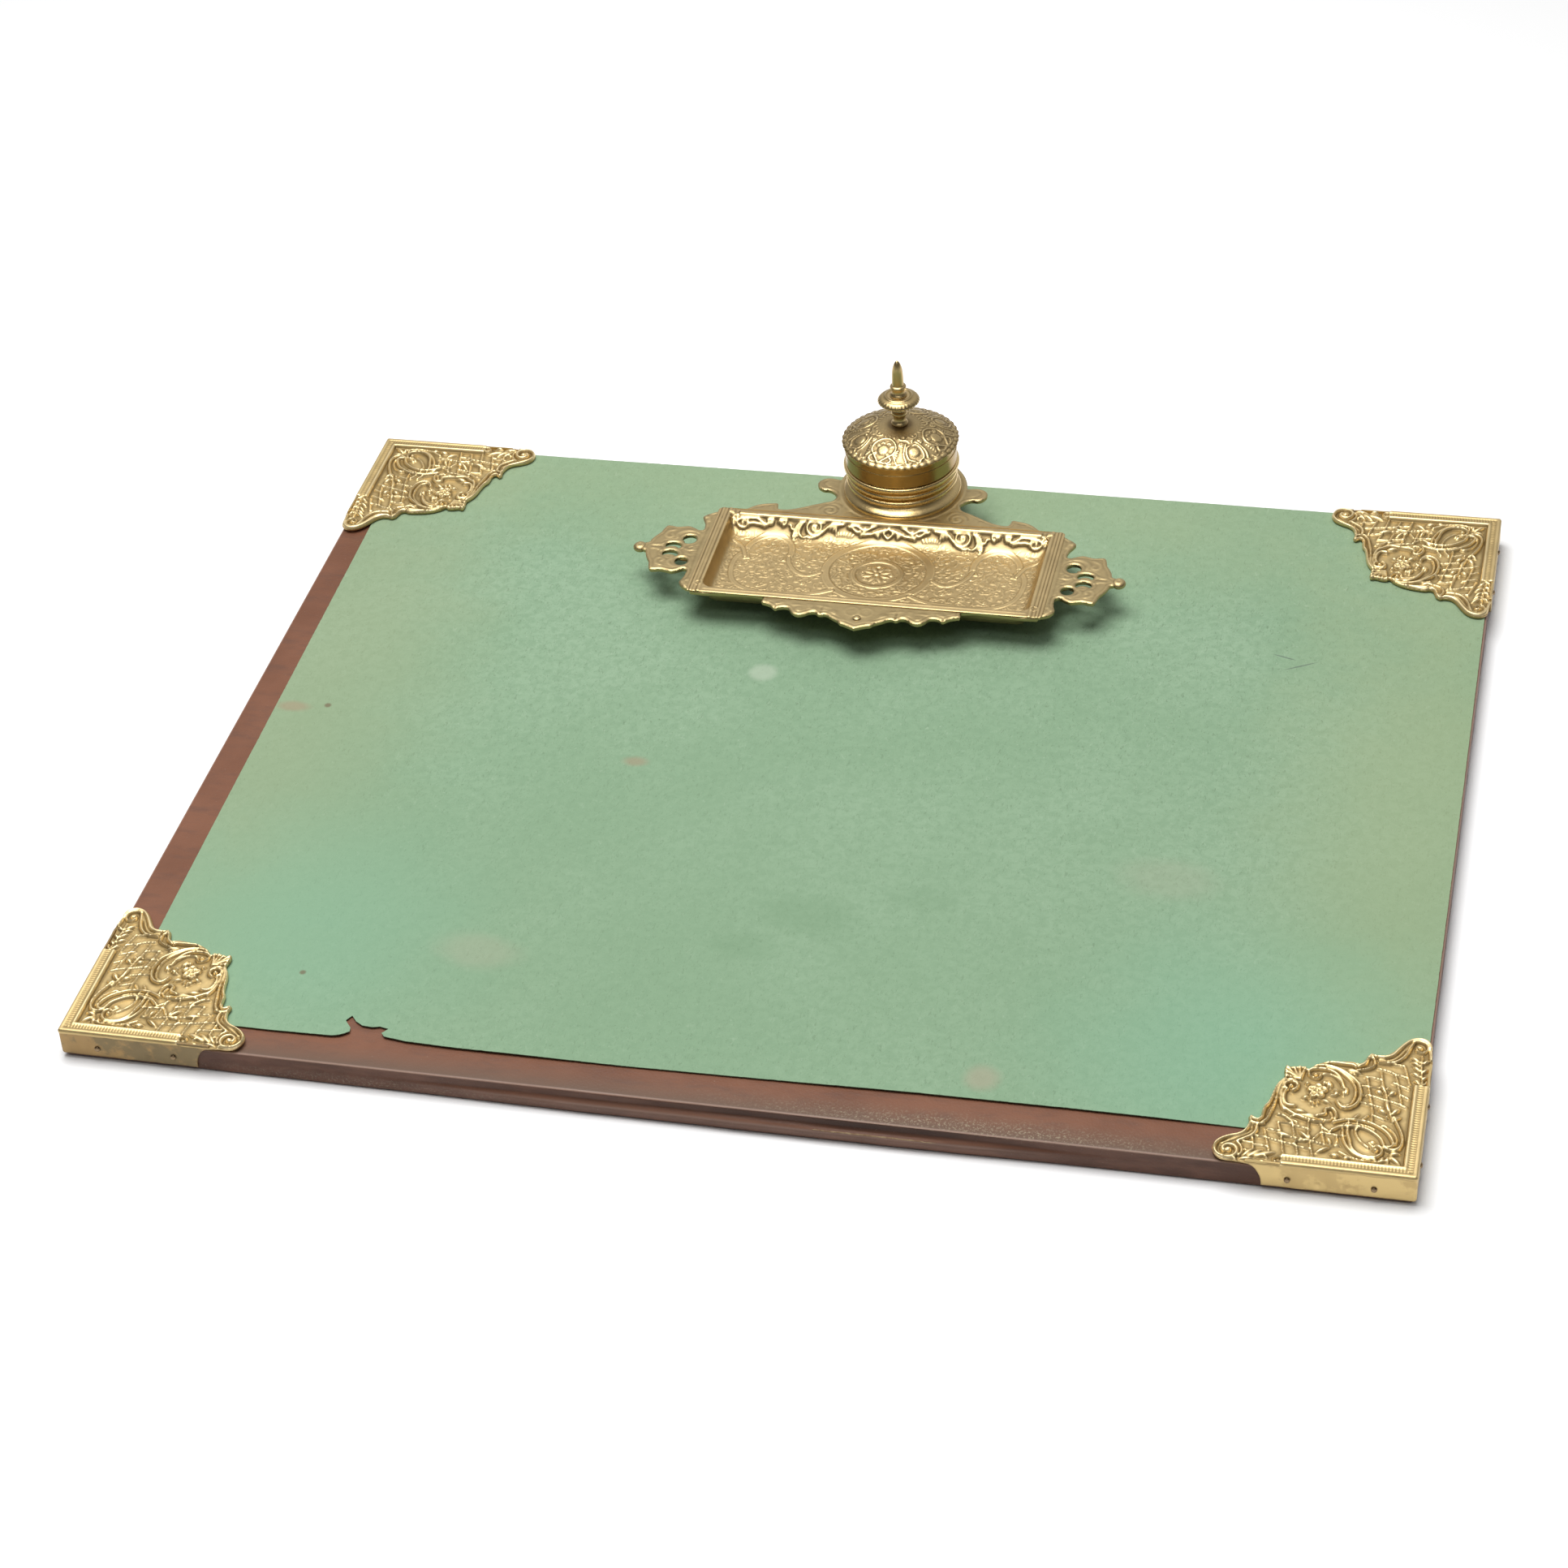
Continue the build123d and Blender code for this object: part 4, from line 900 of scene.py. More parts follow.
    # upright volute
    R.ridge([(21.5, 67.6), (18.6, 67.8), (15.9, 69.2), (13.9, 72.6), (11.7, 76.2), (9.4, 78.9), (6.6, 80.2),
             (4, 79.8), (2.1, 78), (1.5, 75.5)], 0.95, 2.1)
    R.ridge([(20.8, 64.6), (17.5, 64.7), (14.6, 65.6), (12.2, 68), (10.6, 71), (9.7, 74), (8.7, 77)], 0.75, 1.85)
    R.ridge([(21, 66.2), (17.8, 66.3), (15.2, 67.5), (13.2, 70.2), (11.4, 73.6), (9.6, 76.8)], 0.6, 1.15)
    R.ridge([(8.9, 76.5), (7.8, 78.6), (5.5, 79), (3.4, 77.8), (2.6, 75.4), (3.4, 73.2), (5.4, 72.6),
             (6.8, 73.6), (7, 75.2), (6.2, 76)], 0.6, 1.9)
    R.dot((5.4, 75.2), 1.0, 1.9)
    R.ridge([(4.5, 71), (4, 62), (3, 54.5)], 0.5, 1.5)
    for p0, p1, w in (((4.4, 66.5), (9.4, 70.2), 0.95), ((4.3, 64.5), (8.8, 67.4), 0.9), ((4.1, 61.4), (8.0, 64.7), 0.95),
                      ((3.8, 58.2), (8.4, 60.9), 0.95), ((3.4, 54.6), (7.2, 56.6), 0.9), ((4.0, 66.0), (1.2, 69.0), 0.8),
                      ((4.0, 60.6), (1.2, 63.8), 0.8), ((3.6, 56.4), (1.2, 59.4), 0.8)):
        R.leaf(p0, p1, w, 1.85)
    R.ridge([(5.2, 54.8), (3.6, 53.6), (2, 54.2), (1.6, 56)], 0.55, 1.8)
    # leaf pairs on the upright trellis
    for p0, p1, w in (((20.8, 48.2), (17.6, 46.2), 1.25), ((12.6, 48.8), (15.7, 46), 1.2), ((18.9, 37.7), (15.2, 35.1), 1.25),
                      ((10.4, 39.1), (13.5, 35), 1.2), ((19.2, 52.2), (16.8, 47.4), 0.8), ((16.4, 43.2), (14.9, 36.6), 0.7),
                      ((13.0, 30.6), (9.2, 34.8), 0.8)):
        R.leaf(p0, p1, w, 1.95)
    for c in ((15, 33.3), (12.7, 33.2), (16, 50)):
        R.dot(c, 0.75, 1.9)
    # beaded rule along both outer edges
    for d, s in ((Y, X), (X, Y)):
        along = (s > d - 0.01) & (s < 53.0)
        p = np.interp(d, [-2, 0, 0.45, 2.0, 2.25, 4.5, 4.75, 6.0, 6.45], [1.5, 1.5, 1.9, 1.9, 1.35, 1.35, 1.95, 1.95, -1])
        teeth = np.clip(np.abs(((s / 1.32) % 1.0) - 0.5) * 4 - 0.55, 0, 1)
        p = p + np.where((d > 2.2) & (d < 4.6), 0.50 * teeth * smooth01((d - 2.2) / 0.3) * smooth01((4.65 - d) / 0.3), 0)
        R.H = np.where(along & (d < 6.4), np.maximum(p, 0), R.H)
    # rolled rim on the free edge
    q = np.clip(1 - ((Dfree - 0.75) / 0.85) ** 2, 0, 1) ** 0.6
    free = (X > 56) | (Y > 56) | (X + Y > 62)
    R.H = np.where(free & (q > 0), np.maximum(R.H, 1.75 * q), R.H)
    R.H = np.maximum(blur(R.H, 1), 0)
    cav = R.H - blur(R.H, 14)
    H = R.H - 0.75 * (1 - np.clip(D / 0.7, 0, 1)) ** 2
    H = np.clip(H, 0.15, 2.08)
    return X, Y, 12.92 + H, D, cav


CR = corner_relief()


def flange_relief():
    """Side flange that wraps round the outer corner, drawn in (s, h): s runs from one end
    (-61) round the corner (0) to the other (61), h is the height."""
    low, top, end = 2.0, 14.2, 66.3
    q = np.radians(np.linspace(0, 90, 10))
    right = np.c_[end - 6.5 + 6.5 * np.cos(q)[::-1] ** 1.0, 12.5 - 10.5 * (np.sin(q)[::-1])]
    right = np.array([(end - 6.5 * math.sin(a), 12.5 - 10.5 * (1 - math.cos(a))) for a in q])[::-1]
    loop = [(-p[0], p[1]) for p in right[::-1]]
    loop = [(-end, top)] + loop + list(map(tuple, right)) + [(end, top)]
    g = 0.4
    R = Relief(np.arange(-end - 1.1, end + 1.2, g), np.arange(low - 1.1, top + 1.2, g))
    D = sdf_poly(R.X, R.Y, loop)
    off = -0.05 - 0.32 * (1 - np.clip(D / 0.6, 0, 1)) ** 2
    off = off - 0.06 - 0.06 * lumps(R.X, R.Y, 9.0, 8)
    for s, h, r, dp in ((-27.0, 5.6, 1.5, 0.35), (-38.0, 5.2, 1.3, 0.32), (30.0, 6.6, 1.3, 0.25), (-52.0, 9.4, 2.2, 0.15),
                        (44.0, 8.0, 2.4, 0.12)):
        off -= dp * np.exp(-((R.X - s) ** 2 + (R.Y - h) ** 2) / r ** 2)
    for s in (16.5, 50.0, -16.5, -50.0):
        off -= 0.16 * np.exp(-((R.X - s) ** 2 + (R.Y - 6.2) ** 2) / 2.6 ** 2)
    return R.X, R.Y, off, D


FR_ = flange_relief()
for body_name, sx, sy in (("front_left", -1, -1), ("front_right", 1, -1), ("rear_left", -1, 1), ("rear_right", 1, 1)):
    def place(a, b, z, sx=sx, sy=sy):
        return sx * (PAD_W / 2 - a), sy * (PAD_D / 2 - b), z
    X, Y, Z, D, cav = CR
    plate = cast("corner_" + body_name + "_plate", X, Y, Z, D, place, M_CORNER, "pad",
                 [(0.0, 13.55), (-0.12, 12.75), (-0.35, 12.5)], cav=cav, flip=sx * sy < 0, angle=60)
    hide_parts("corner_" + body_name)

    def bent(s, h, o, sx=sx, sy=sy):
        """From (s, h, outward shift) to the two sides with a rounded corner between."""
        r = 1.3
        q = math.pi / 2 * r / 2
        s = np.asarray(s, float)
        a = np.zeros_like(s)
        b = np.zeros_like(s)
        m1, m2 = s < -q, s > q
        m = ~(m1 | m2)
        a[m1], b[m1] = r - (s[m1] + q), -o[m1]
        a[m2], b[m2] = -o[m2], r + (s[m2] - q)
        ang = (s[m] / q + 1) * math.pi / 4
        a[m] = r - (r + o[m]) * np.sin(ang)
        b[m] = r - (r + o[m]) * np.cos(ang)
        return sx * (PAD_W / 2 - a), sy * (PAD_D / 2 - b), np.asarray(h, float)
    X, H, O, D = FR_
    fl = cast("corner_" + body_name + "_flange", X, H, O, D, bent,
              M_FLANGE_OLD if body_name == "front_left" else M_FLANGE, "pad",
              [(0.0, -0.6), (0.0, -1.15)], flip=sx * sy > 0, angle=60)


# ===================================================================== leather cover
def leather_cover():
    W, L = PAD_W - 2.4, PAD_D - 2.4
    prof = [(28, 11.3), (22, 11.3), (17, 11.3), (13, 11.3), (9, 11.3), (6, 11.3), (4, 11.3), (2.6, 11.3),
            (1.6, 11.3), (1.0, 11.29), (0.62, 11.24), (0.36, 11.13), (0.16, 10.97), (0.04, 10.76), (0, 10.5),
            (0, 10.2), (0, 9.9), (0, 9.5), (0, 9.1), (0, 8.7), (0, 8.3), (0, 7.9), (0, 7.5), (0, 7.2), (0, 6.9),
            (0, 6.6), (0, 6.3), (0, 6.0), (0, 5.7), (0, 5.4), (0, 5.0), (0, 4.6), (0, 4.1), (0, 3.6), (0, 3.1),
            (0, 2.6), (0, 2.1), (0, 1.7), (0, 1.3), (0.08, 0.9), (0.3, 0.5), (0.7, 0.2), (1.2, 0.04),
            (2, 0), (5, 0), (9, 0), (14.9, 0), (15, 0.1), (15, 0.8), (14.9, 0.9), (5, 0.9), (1.1, 0.95),
            (0.9, 1.3), (0.9, 10.0), (1.1, 10.35), (5, 10.4), (28, 10.4)]
    n_outer = prof.index((15, 0.1))
    rc = 1.2
    sides = []
    nx, ny = 330, 110
    f = lambda n: np.linspace(0, 1, n, endpoint=False)
    S = []                                      # (side, fraction) round the pad from front left
    for side, n in ((0, nx), (1, ny), (2, 150), (3, ny)):
        S += [(side, t) for t in f(n)] + [(side + 0.5, a) for a in (0.0, 0.25, 0.5, 0.75)]

    def pos(side, t, n):
        r = max(rc - n, 0.0)
        hx, hy = W / 2 - n, L / 2 - n
        if side == 0:
            return (-hx + r + t * (2 * hx - 2 * r), -hy, 0, -1)
        if side == 1:
            return (hx, -hy + r + t * (2 * hy - 2 * r), 1, 0)
        if side == 2:
            return (hx - r - t * (2 * hx - 2 * r), hy, 0, 1)
        if side == 3:
            return (-hx, hy - r - t * (2 * hy - 2 * r), -1, 0)
        k = int(side)
        cx, cy = ((hx - r, -hy + r), (hx - r, hy - r), (-hx + r, hy - r), (-hx + r, -hy + r))[k]
        a = math.radians((-90, 0, 90, 180)[k] + 90 * t)
        return (cx + r * math.cos(a), cy + r * math.sin(a), math.cos(a), math.sin(a))
    m = len(S)
    P = np.array([[pos(s, t, n) for (s, t) in S] for n, z in prof])      # (profile, around, 4)
    Z = np.repeat(np.array([z for n, z in prof])[:, None], m, axis=1).astype(float)
    outer = np.arange(len(prof)) < n_outer
    x, y = P[:, :, 0], P[:, :, 1]
    side = np.array([s for s, t in S])
    # slight unevenness of hand-laid leather
    w = 0.10 * lumps(x, y, 26.0, 5) + 0.05 * lumps(x, y, 7.0, 6)
    topm = (Z > 10.2) & outer[:, None]
    Z = np.where(topm, Z + 0.22 * np.minimum(w, 0) - 0.02, Z)
    sidem = (Z < 10.5) & (Z > 0.3) & outer[:, None]
    out = np.where(sidem, 0.10 * lumps(x + y, Z * 3.0, 24.0, 9), 0.0)
    out = np.minimum(out, 0.12)
    # front: the turned edge has come loose and bulges in a long roll
    amp = np.interp(x, [-222, -206, -170, -130, -100, -60, 0, 45, 66, 85, 110, 140, 165],
                    [0.0, 0.15, 0.22, 0.35, 0.75, 1.25, 1.65, 1.85, 1.85, 1.7, 1.1, 0.4, 0.0])
    amp = amp * (1 + 0.05 * np.sin(x / 13.0) + 0.04 * np.sin(x / 5.1))
    zc = 0.18 * np.sin(x / 60.0)
    roll = np.interp(Z - zc, [0.0, 0.3, 1.0, 2.2, 3.6, 5.0, 5.6, 6.2, 6.8, 7.3], [0.30, 0.46, 0.68, 0.9, 1.0, 1.0, 0.92, 0.66, 0.28, 0.0])
    under = np.interp(x, [-200, -150, -100, -50, 0, 50, 90, 120, 150, 200], [0.0, 0.15, 0.32, 0.5, 0.6, 0.62, 0.6, 0.48, 0.3, 0.1])
    hollow = np.interp(Z - zc, [6.2, 7.2, 8.2, 9.6, 10.4, 10.8], [0.0, 0.75, 1.0, 1.0, 0.7, 0.0])
    front = np.isin(side, [0])[None, :] & outer[:, None] & (Z < 10.9)
    out = np.where(front, out * 0.3 + amp * roll - under * hollow, out)
    # gash behind the torn lip
    gash = np.clip(1 - ((x - 66) / 30.0) ** 2, 0, 1) ** 0.5 * np.exp(-((Z - 6.5) / 0.45) ** 2)
    out = np.where(front, out - 0.75 * gash, out)
    out = np.maximum(out, -0.7)
    x = x + out * P[:, :, 2]
    y = y + out * P[:, :, 3]
    y = np.maximum(y, -229.3)
    V = np.c_[x.ravel(), y.ravel(), Z.ravel()]
    faces = []
    K = len(prof)
    for i in range(K - 1):
        for j in range(m):
            j2 = (j + 1) % m
            faces.append([i * m + j, (i + 1) * m + j, (i + 1) * m + j2, i * m + j2])
    faces.append([j for j in range(m)])                              # top inner field
    faces.append([(K - 1) * m + j for j in range(m)][::-1])
    # painted highlight: the light line along the fold ridge and the glints on the top of the front roll
    edge = np.array([min(max(1.25 - abs(z - 11.05) / 0.32, 0.0), 1.0) if n < 0.8 else 0.0 for n, z in prof])
    edge = np.repeat((edge * outer)[:, None], m, axis=1)
    edge = np.maximum(edge, 0.62 * np.where(front, np.exp(-((Z - 5.3) / 0.75) ** 2) * np.clip(amp - 0.3, 0, 1), 0))
    edge = np.maximum(edge, 0.25 * np.where(front, np.exp(-((Z - 3.6) / 1.6) ** 2) * np.clip(amp, 0, 1), 0))
    # painted shade for the undercut below the fold of the front edge, carried by the crease attribute
    crease = np.where(front, hollow * np.interp(x, [-160, -100, -50, 0, 50, 90, 120, 150], [0, 0.1, 0.35, 0.7, 1.0, 1.0, 0.5, 0.2]), 0.0)
    depth = np.repeat(np.array([n for n, z in prof], float)[:, None], m, axis=1)
    rim = np.where((Z > 11.0) & outer[:, None] & (side[None, :] < 1), np.clip(1.0 - (depth - 1.0) / 11.0, 0, 1), 0.0)
    scuff = np.exp(-((x - 105) / 75.0) ** 2) * np.exp(-((y + 223.5) / 4.5) ** 2) * topm
    scuff = np.maximum(scuff, 0.45 * np.exp(-((x + 150) / 60.0) ** 2) * np.where(front, np.exp(-((Z - 3.0) / 2.5) ** 2), 0))
    ob = new_object("leather_cover_worn", V, faces, M_LEATHER, "pad", 60,
                    {"edge": edge.ravel(), "scuff": scuff.ravel(), "crease": crease.ravel(), "rim": rim.ravel()})
    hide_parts("leather_cover")
    # raw lip of the tear
    n = 46
    V, faces = [], []
    rng = np.random.default_rng(4)
    for k in range(n + 1):
        t = k / n
        xx = 41 + 50 * t
        a = float(np.interp(xx, [45, 85, 110], [1.8, 1.65, 1.1]))
        hw = 0.34 * math.sin(math.pi * min(max(t, 0.02), 0.98)) ** 0.5 * (1 + 0.35 * math.sin(k * 1.9) * 0.5)
        zc = 5.85 - 0.25 * t + 0.10 * math.sin(k * 0.7) + 0.05 * rng.uniform(-1, 1)
        yo = -227.4 - a * 0.93
        for dz, dy in ((hw, 0.15), (hw, -0.12), (-hw * 0.8, -0.10), (-hw * 0.8, 0.3)):
            V.append((xx, max(yo + dy, -229.38), zc + dz))
    for k in range(n):
        for q in range(4):
            a, b = k * 4 + q, k * 4 + (q + 1) % 4
            faces.append([a, a + 4, b + 4, b])
    faces.append([0, 1, 2, 3])
    faces.append([n * 4 + 3, n * 4 + 2, n * 4 + 1, n * 4])
    lip = new_object("leather_tear_edge", V, faces, M_RAW, "pad", 60)


leather_cover()


# ===================================================================== blotting sheet
sheet_outline = [
    (-265.4, 226.4), (-264.9, 150), (-263.9, 60), (-262.8, -40), (-261.6, -130),
    (-260.6, -190), (-260.2, -211.6),
    (-225, -211.9), (-192.6, -212.3), (-164.6, -211.9), (-162.0, -211.1), (-160.2, -210.0), (-158.3, -208.4),
    (-158.7, -206.0), (-162.2, -201.6), (-160.4, -198.4), (-157.8, -201.6), (-154.4, -203.9),
    (-150.0, -204.3), (-146.8, -203.4), (-142.9, -204.2), (-144.9, -207.3), (-143.3, -209.3),
    (-133.4, -210.7), (-112.3, -211.4),
    (-100, -211.4), (-40, -211.0), (20, -209.8), (80, -208.5), (140, -207.9),
    (210, -207.8), (277.0, -207.6),
    (277.4, -100), (277.5, 20), (277.3, 130), (277.0, 226.8),
    (150, 227.0), (20, 227.2), (-120, 227.0),
]


def outline_dense(pts, step, rough, seed, inset=0.0):
    P = np.array(pts, float)
    out = []
    for a, b in zip(P, np.roll(P, -1, axis=0)):
        n = max(1, int(np.linalg.norm(b - a) / step))
        out += [a + (b - a) * k / n for k in range(n)]
    Q = np.array(out)
    nrm = np.roll(Q, -1, axis=0) - np.roll(Q, 1, axis=0)
    nrm = np.c_[nrm[:, 1], -nrm[:, 0]]
    nrm /= np.maximum(np.linalg.norm(nrm, axis=1, keepdims=True), 1e-9)
    area = np.sum(Q[:, 0] * np.roll(Q[:, 1], -1) - np.roll(Q[:, 0], -1) * Q[:, 1])
    if area < 0:
        nrm = -nrm
    r = lumps(Q[:, 0], Q[:, 1], 6.0, seed) * 0.5 + lumps(Q[:, 0], Q[:, 1], 1.6, seed + 1) * 0.5
    return Q - nrm * (inset + rough * np.abs(r))[:, None], nrm


def laid_sheet(name, Q, ztop, zlow, material, lift=None, grid=9.0):
    xs = np.arange(Q[:, 0].min() + grid / 2, Q[:, 0].max(), grid)
    ys = np.arange(Q[:, 1].min() + grid / 2, Q[:, 1].max(), grid)
    GX, GY = np.meshgrid(xs, ys, indexing="ij")
    keep = sdf_poly(GX, GY, Q[::4]) > 2.5
    pts = [Vector(q) for q in Q] + [Vector((a, b)) for a, b in zip(GX[keep], GY[keep])]
    n = len(Q)
    vo, _, fo, orig, _, _ = delaunay_2d_cdt(pts, [(k, (k + 1) % n) for k in range(n)], [], 1, 1e-5)
    V2 = np.array([(v.x, v.y) for v in vo])
    where = {}
    for k, o in enumerate(orig):
        for q in o:
            where[q] = k
    dz = np.zeros(len(V2)) if lift is None else lift(V2[:, 0], V2[:, 1])
    top = np.c_[V2, ztop + dz]
    low = np.c_[V2, zlow + dz]
    m = len(V2)
    faces = []
    for f in fo:
        a, b, c = (vo[k] for k in f)
        f = list(f) if (b - a).cross(c - a) > 0 else list(f)[::-1]
        faces.append(f)
        faces.append([m + k for k in f[::-1]])
    area = np.sum(Q[:, 0] * np.roll(Q[:, 1], -1) - np.roll(Q[:, 0], -1) * Q[:, 1])
    for k in range(n):
        a, b = where[k], where[(k + 1) % n]
        faces.append([a, m + a, m + b, b] if area > 0 else [b, m + b, m + a, a])
    return new_object(name, np.vstack([top, low]), faces, material, "sheet", 40)


Q, _ = outline_dense(sheet_outline, 1.2, 0.16, 21)


def paper_lift(x, y):
    """The front edge has curled up a little, most of all beside the torn nick."""
    a = np.interp(x, [-214, -200, -140, -90, -50, 0, 30, 70, 130, 180, 200, 210],
                  [0.0, 0.35, 0.6, 0.6, 0.25, 0.2, 0.35, 0.75, 0.8, 0.6, 0.2, 0.0])
    a = a + 0.55 * np.exp(-((x + 152) / 9.0) ** 2)
    return 0.07 * np.clip(lumps(x, y, 60.0, 2), -1, 1) + a * np.exp(-np.maximum(y + 211.0, 0) / 7.0)


paper = laid_sheet("blotting_sheet_paper", Q, 12.06, 11.72, M_PAPER, paper_lift, 7.0)
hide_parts("blotting_sheet")
Qa = np.abs(np.sum(Q[:, 0] * np.roll(Q[:, 1], -1) - np.roll(Q[:, 0], -1) * Q[:, 1])) / 2 * 1e-6
# a near-black layer set in under the paper's edge, painted shade for the gap beneath it
Q2, _ = outline_dense(sheet_outline, 3.0, 0.1, 23, inset=1.5)
gap_shade_sheet = laid_sheet("blotting_sheet_gap_shade", Q2, 11.62, 11.36, M_GAP_SHADE, None, 40.0)


# ===================================================================== camera, floor, light
cam_data = bpy.data.cameras.new("camera")
cam_data.lens = 85.0
cam_data.sensor_width = 36.0
cam_data.sensor_fit = "HORIZONTAL"
cam_data.dof.use_dof = False
cam_data.clip_start, cam_data.clip_end = 0.05, 50
cam = bpy.data.objects.new("camera", cam_data)
scene.collection.objects.link(cam)
cam.matrix_world = Matrix((
    (0.9741274017, -0.0882918743, 0.2080392998, 0.3244072),
    (0.2181404071, 0.6079766042, -0.7633997718, -1.2719697),
    (-0.0590810304, 0.7890304136, 0.6115066952, 1.0153042),
    (0, 0, 0, 1)))
scene.camera = cam

me = bpy.data.meshes.new("floor")
s = 14.0
me.from_pydata([(-s, -s, -0.0002), (s, -s, -0.0002), (s, s, -0.0002), (-s, s, -0.0002)], [], [(0, 1, 2, 3)])
floor = bpy.data.objects.new("floor", me)
scene.collection.objects.link(floor)
fm = Nodes("floor_m")
fm.put(fm.bsdf.inputs["Base Color"], fm.mix(fm.noise(3, 2), (0.975, 0.975, 0.975, 1), (0.98, 0.98, 0.98, 1)))
fm.bsdf.inputs["Roughness"].default_value = 0.95
fm.bsdf.inputs["Specular IOR Level"].default_value = 0.0
me.materials.append(fm.mat)

world = bpy.data.worlds.new("studio")
scene.world = world
world.use_nodes = True
wt = world.node_tree
wt.nodes.clear()
wo = wt.nodes.new("ShaderNodeOutputWorld")
bg = wt.nodes.new("ShaderNodeBackground")
tc = wt.nodes.new("ShaderNodeTexCoord")
sp = wt.nodes.new("ShaderNodeSeparateXYZ")
wt.links.new(tc.outputs["Generated"], sp.inputs[0])


def world_ramp(sock, stops):
    mr = wt.nodes.new("ShaderNodeMapRange")
    mr.inputs["From Min"].default_value = -1.0
    wt.links.new(sock, mr.inputs["Value"])
    rp = wt.nodes.new("ShaderNodeValToRGB")
    wt.links.new(mr.outputs[0], rp.inputs[0])
    cr = rp.color_ramp
    cr.elements[0].position, cr.elements[0].color = (stops[0][0] + 1) / 2, (stops[0][1],) * 3 + (1,)
    cr.elements[1].position, cr.elements[1].color = (stops[-1][0] + 1) / 2, (stops[-1][1],) * 3 + (1,)
    for x, v in stops[1:-1]:
        cr.elements.new((x + 1) / 2).color = (v, v, v, 1)
    return rp.outputs[0]


mx = wt.nodes.new("ShaderNodeVectorMath")
mx.operation = "MULTIPLY"
wt.links.new(world_ramp(sp.outputs["Z"], ((-1.0, 0.8), (0.0, 0.55), (0.35, 0.85), (0.8, 0.9), (1.0, 0.8))), mx.inputs[0])
wt.links.new(world_ramp(sp.outputs["Y"], ((-1.0, 0.20), (-0.35, 0.22), (0.15, 0.62), (0.6, 1.0), (1.0, 1.0))), mx.inputs[1])
mx2 = wt.nodes.new("ShaderNodeVectorMath")
mx2.operation = "MULTIPLY"
wt.links.new(mx.outputs[0], mx2.inputs[0])
wt.links.new(world_ramp(sp.outputs["X"], ((-1.0, 0.35), (-0.65, 0.70), (-0.35, 1.0), (0.35, 1.0), (0.65, 0.70), (1.0, 0.35))),
             mx2.inputs[1])
wt.links.new(mx2.outputs[0], bg.inputs["Color"])
wt.links.new(bg.outputs[0], wo.inputs["Surface"])
bg.inputs["Strength"].default_value = 0.72


def softbox(name, loc, look, size, power, size_y=None, color=(1, 1, 1)):
    d = bpy.data.lights.new(name, "AREA")
    d.shape = "RECTANGLE"
    d.size, d.size_y = size, size_y or size
    d.energy = power
    d.color = color
    o = bpy.data.objects.new(name, d)
    scene.collection.objects.link(o)
    o.location = loc
    o.rotation_mode = "QUATERNION"
    o.rotation_quaternion = (Vector(look) - Vector(loc)).to_track_quat("-Z", "Y")
    return o


softbox("key_overhead", (-0.24, 0.09, 1.75), (0, 0.02, 0), 1.10, 33.0, 1.25)
softbox("strip_front", (0.10, -1.02, 1.75), (0, 0.0, 0.05), 1.6, 4.8, 0.4)
scene.view_settings.view_transform = "Standard"
scene.view_settings.look = "None"
scene.view_settings.exposure = 0.0
scene.view_settings.gamma = 1.0


# ===================================================================== inkstand
SX_, SY_ = -5.0, 128.9
WELL_V = 66.6
half_edge = [
    (0.0, -51.0), (3.0, -49.5), (5.2, -48.4), (7.4, -47.6), (8.6, -46.1), (12.0, -43.9),
    (15.5, -41.7), (17.8, -42.3), (19.0, -41.9), (20.5, -40.6), (22.5, -40.9), (25.0, -42.7),
    (27.5, -43.7), (30.0, -43.1), (32.0, -41.0), (33.5, -38.8), (36.0, -38.5), (38.0, -39.2),
    (39.3, -40.1), (40.6, -39.5), (42.5, -37.7), (45.0, -36.6), (47.0, -35.9), (47.1, -32.2),
    (82.3, -32.2), (83.0, -30.6), (85.8, -29.4), (88.2, -27.2), (89.2, -25.0), (88.5, -22.4),
    (87.9, -19.5), (87.9, -15.2), (89.6, -14.2), (92.2, -15.7), (95.2, -17.1), (98.2, -16.4),
    (101.0, -15.9), (103.5, -16.5), (105.8, -16.5), (106.9, -14.0), (107.7, -10.5),
    (109.3, -7.6), (110.6, -4.6), (111.6, -1.4), (113.2, -0.8), (113.2, 4.8), (111.6, 5.4),
    (110.6, 8.6), (109.3, 11.6),
    (107.7, 14.5), (106.9, 18.0), (105.8, 20.4), (103.5, 20.4), (101.0, 19.9), (98.2, 20.5),
    (95.2, 21.1), (92.2, 19.8), (89.6, 18.4), (87.9, 19.2), (88.0, 22.6), (88.7, 25.2),
    (90.0, 28.0), (90.6, 30.0), (88.6, 32.4), (85.6, 34.2), (82.6, 37.2), (79.0, 38.8),
    (71.6, 39.4), (69.6, 41.2), (67.0, 43.4), (64.0, 44.8), (60.6, 45.6), (57.4, 45.9),
    (56.8, 43.4), (56.0, 41.4), (53.0, 41.2), (49.4, 42.1), (45.0, 44.2), (40.0, 47.1),
    (35.4, 49.5), (31.8, 51.4), (30.6, 53.6), (30.4, 55.8), (31.6, 57.8), (33.0, 59.4),
    (35.2, 60.6), (38.0, 60.6), (40.4, 62.2), (41.6, 64.8), (41.4, 67.6), (39.6, 69.8),
    (37.0, 70.8), (34.0, 70.6), (31.4, 70.0),
]


def on_stand(u, v, z):
    return SX_ + u, SY_ + v, z


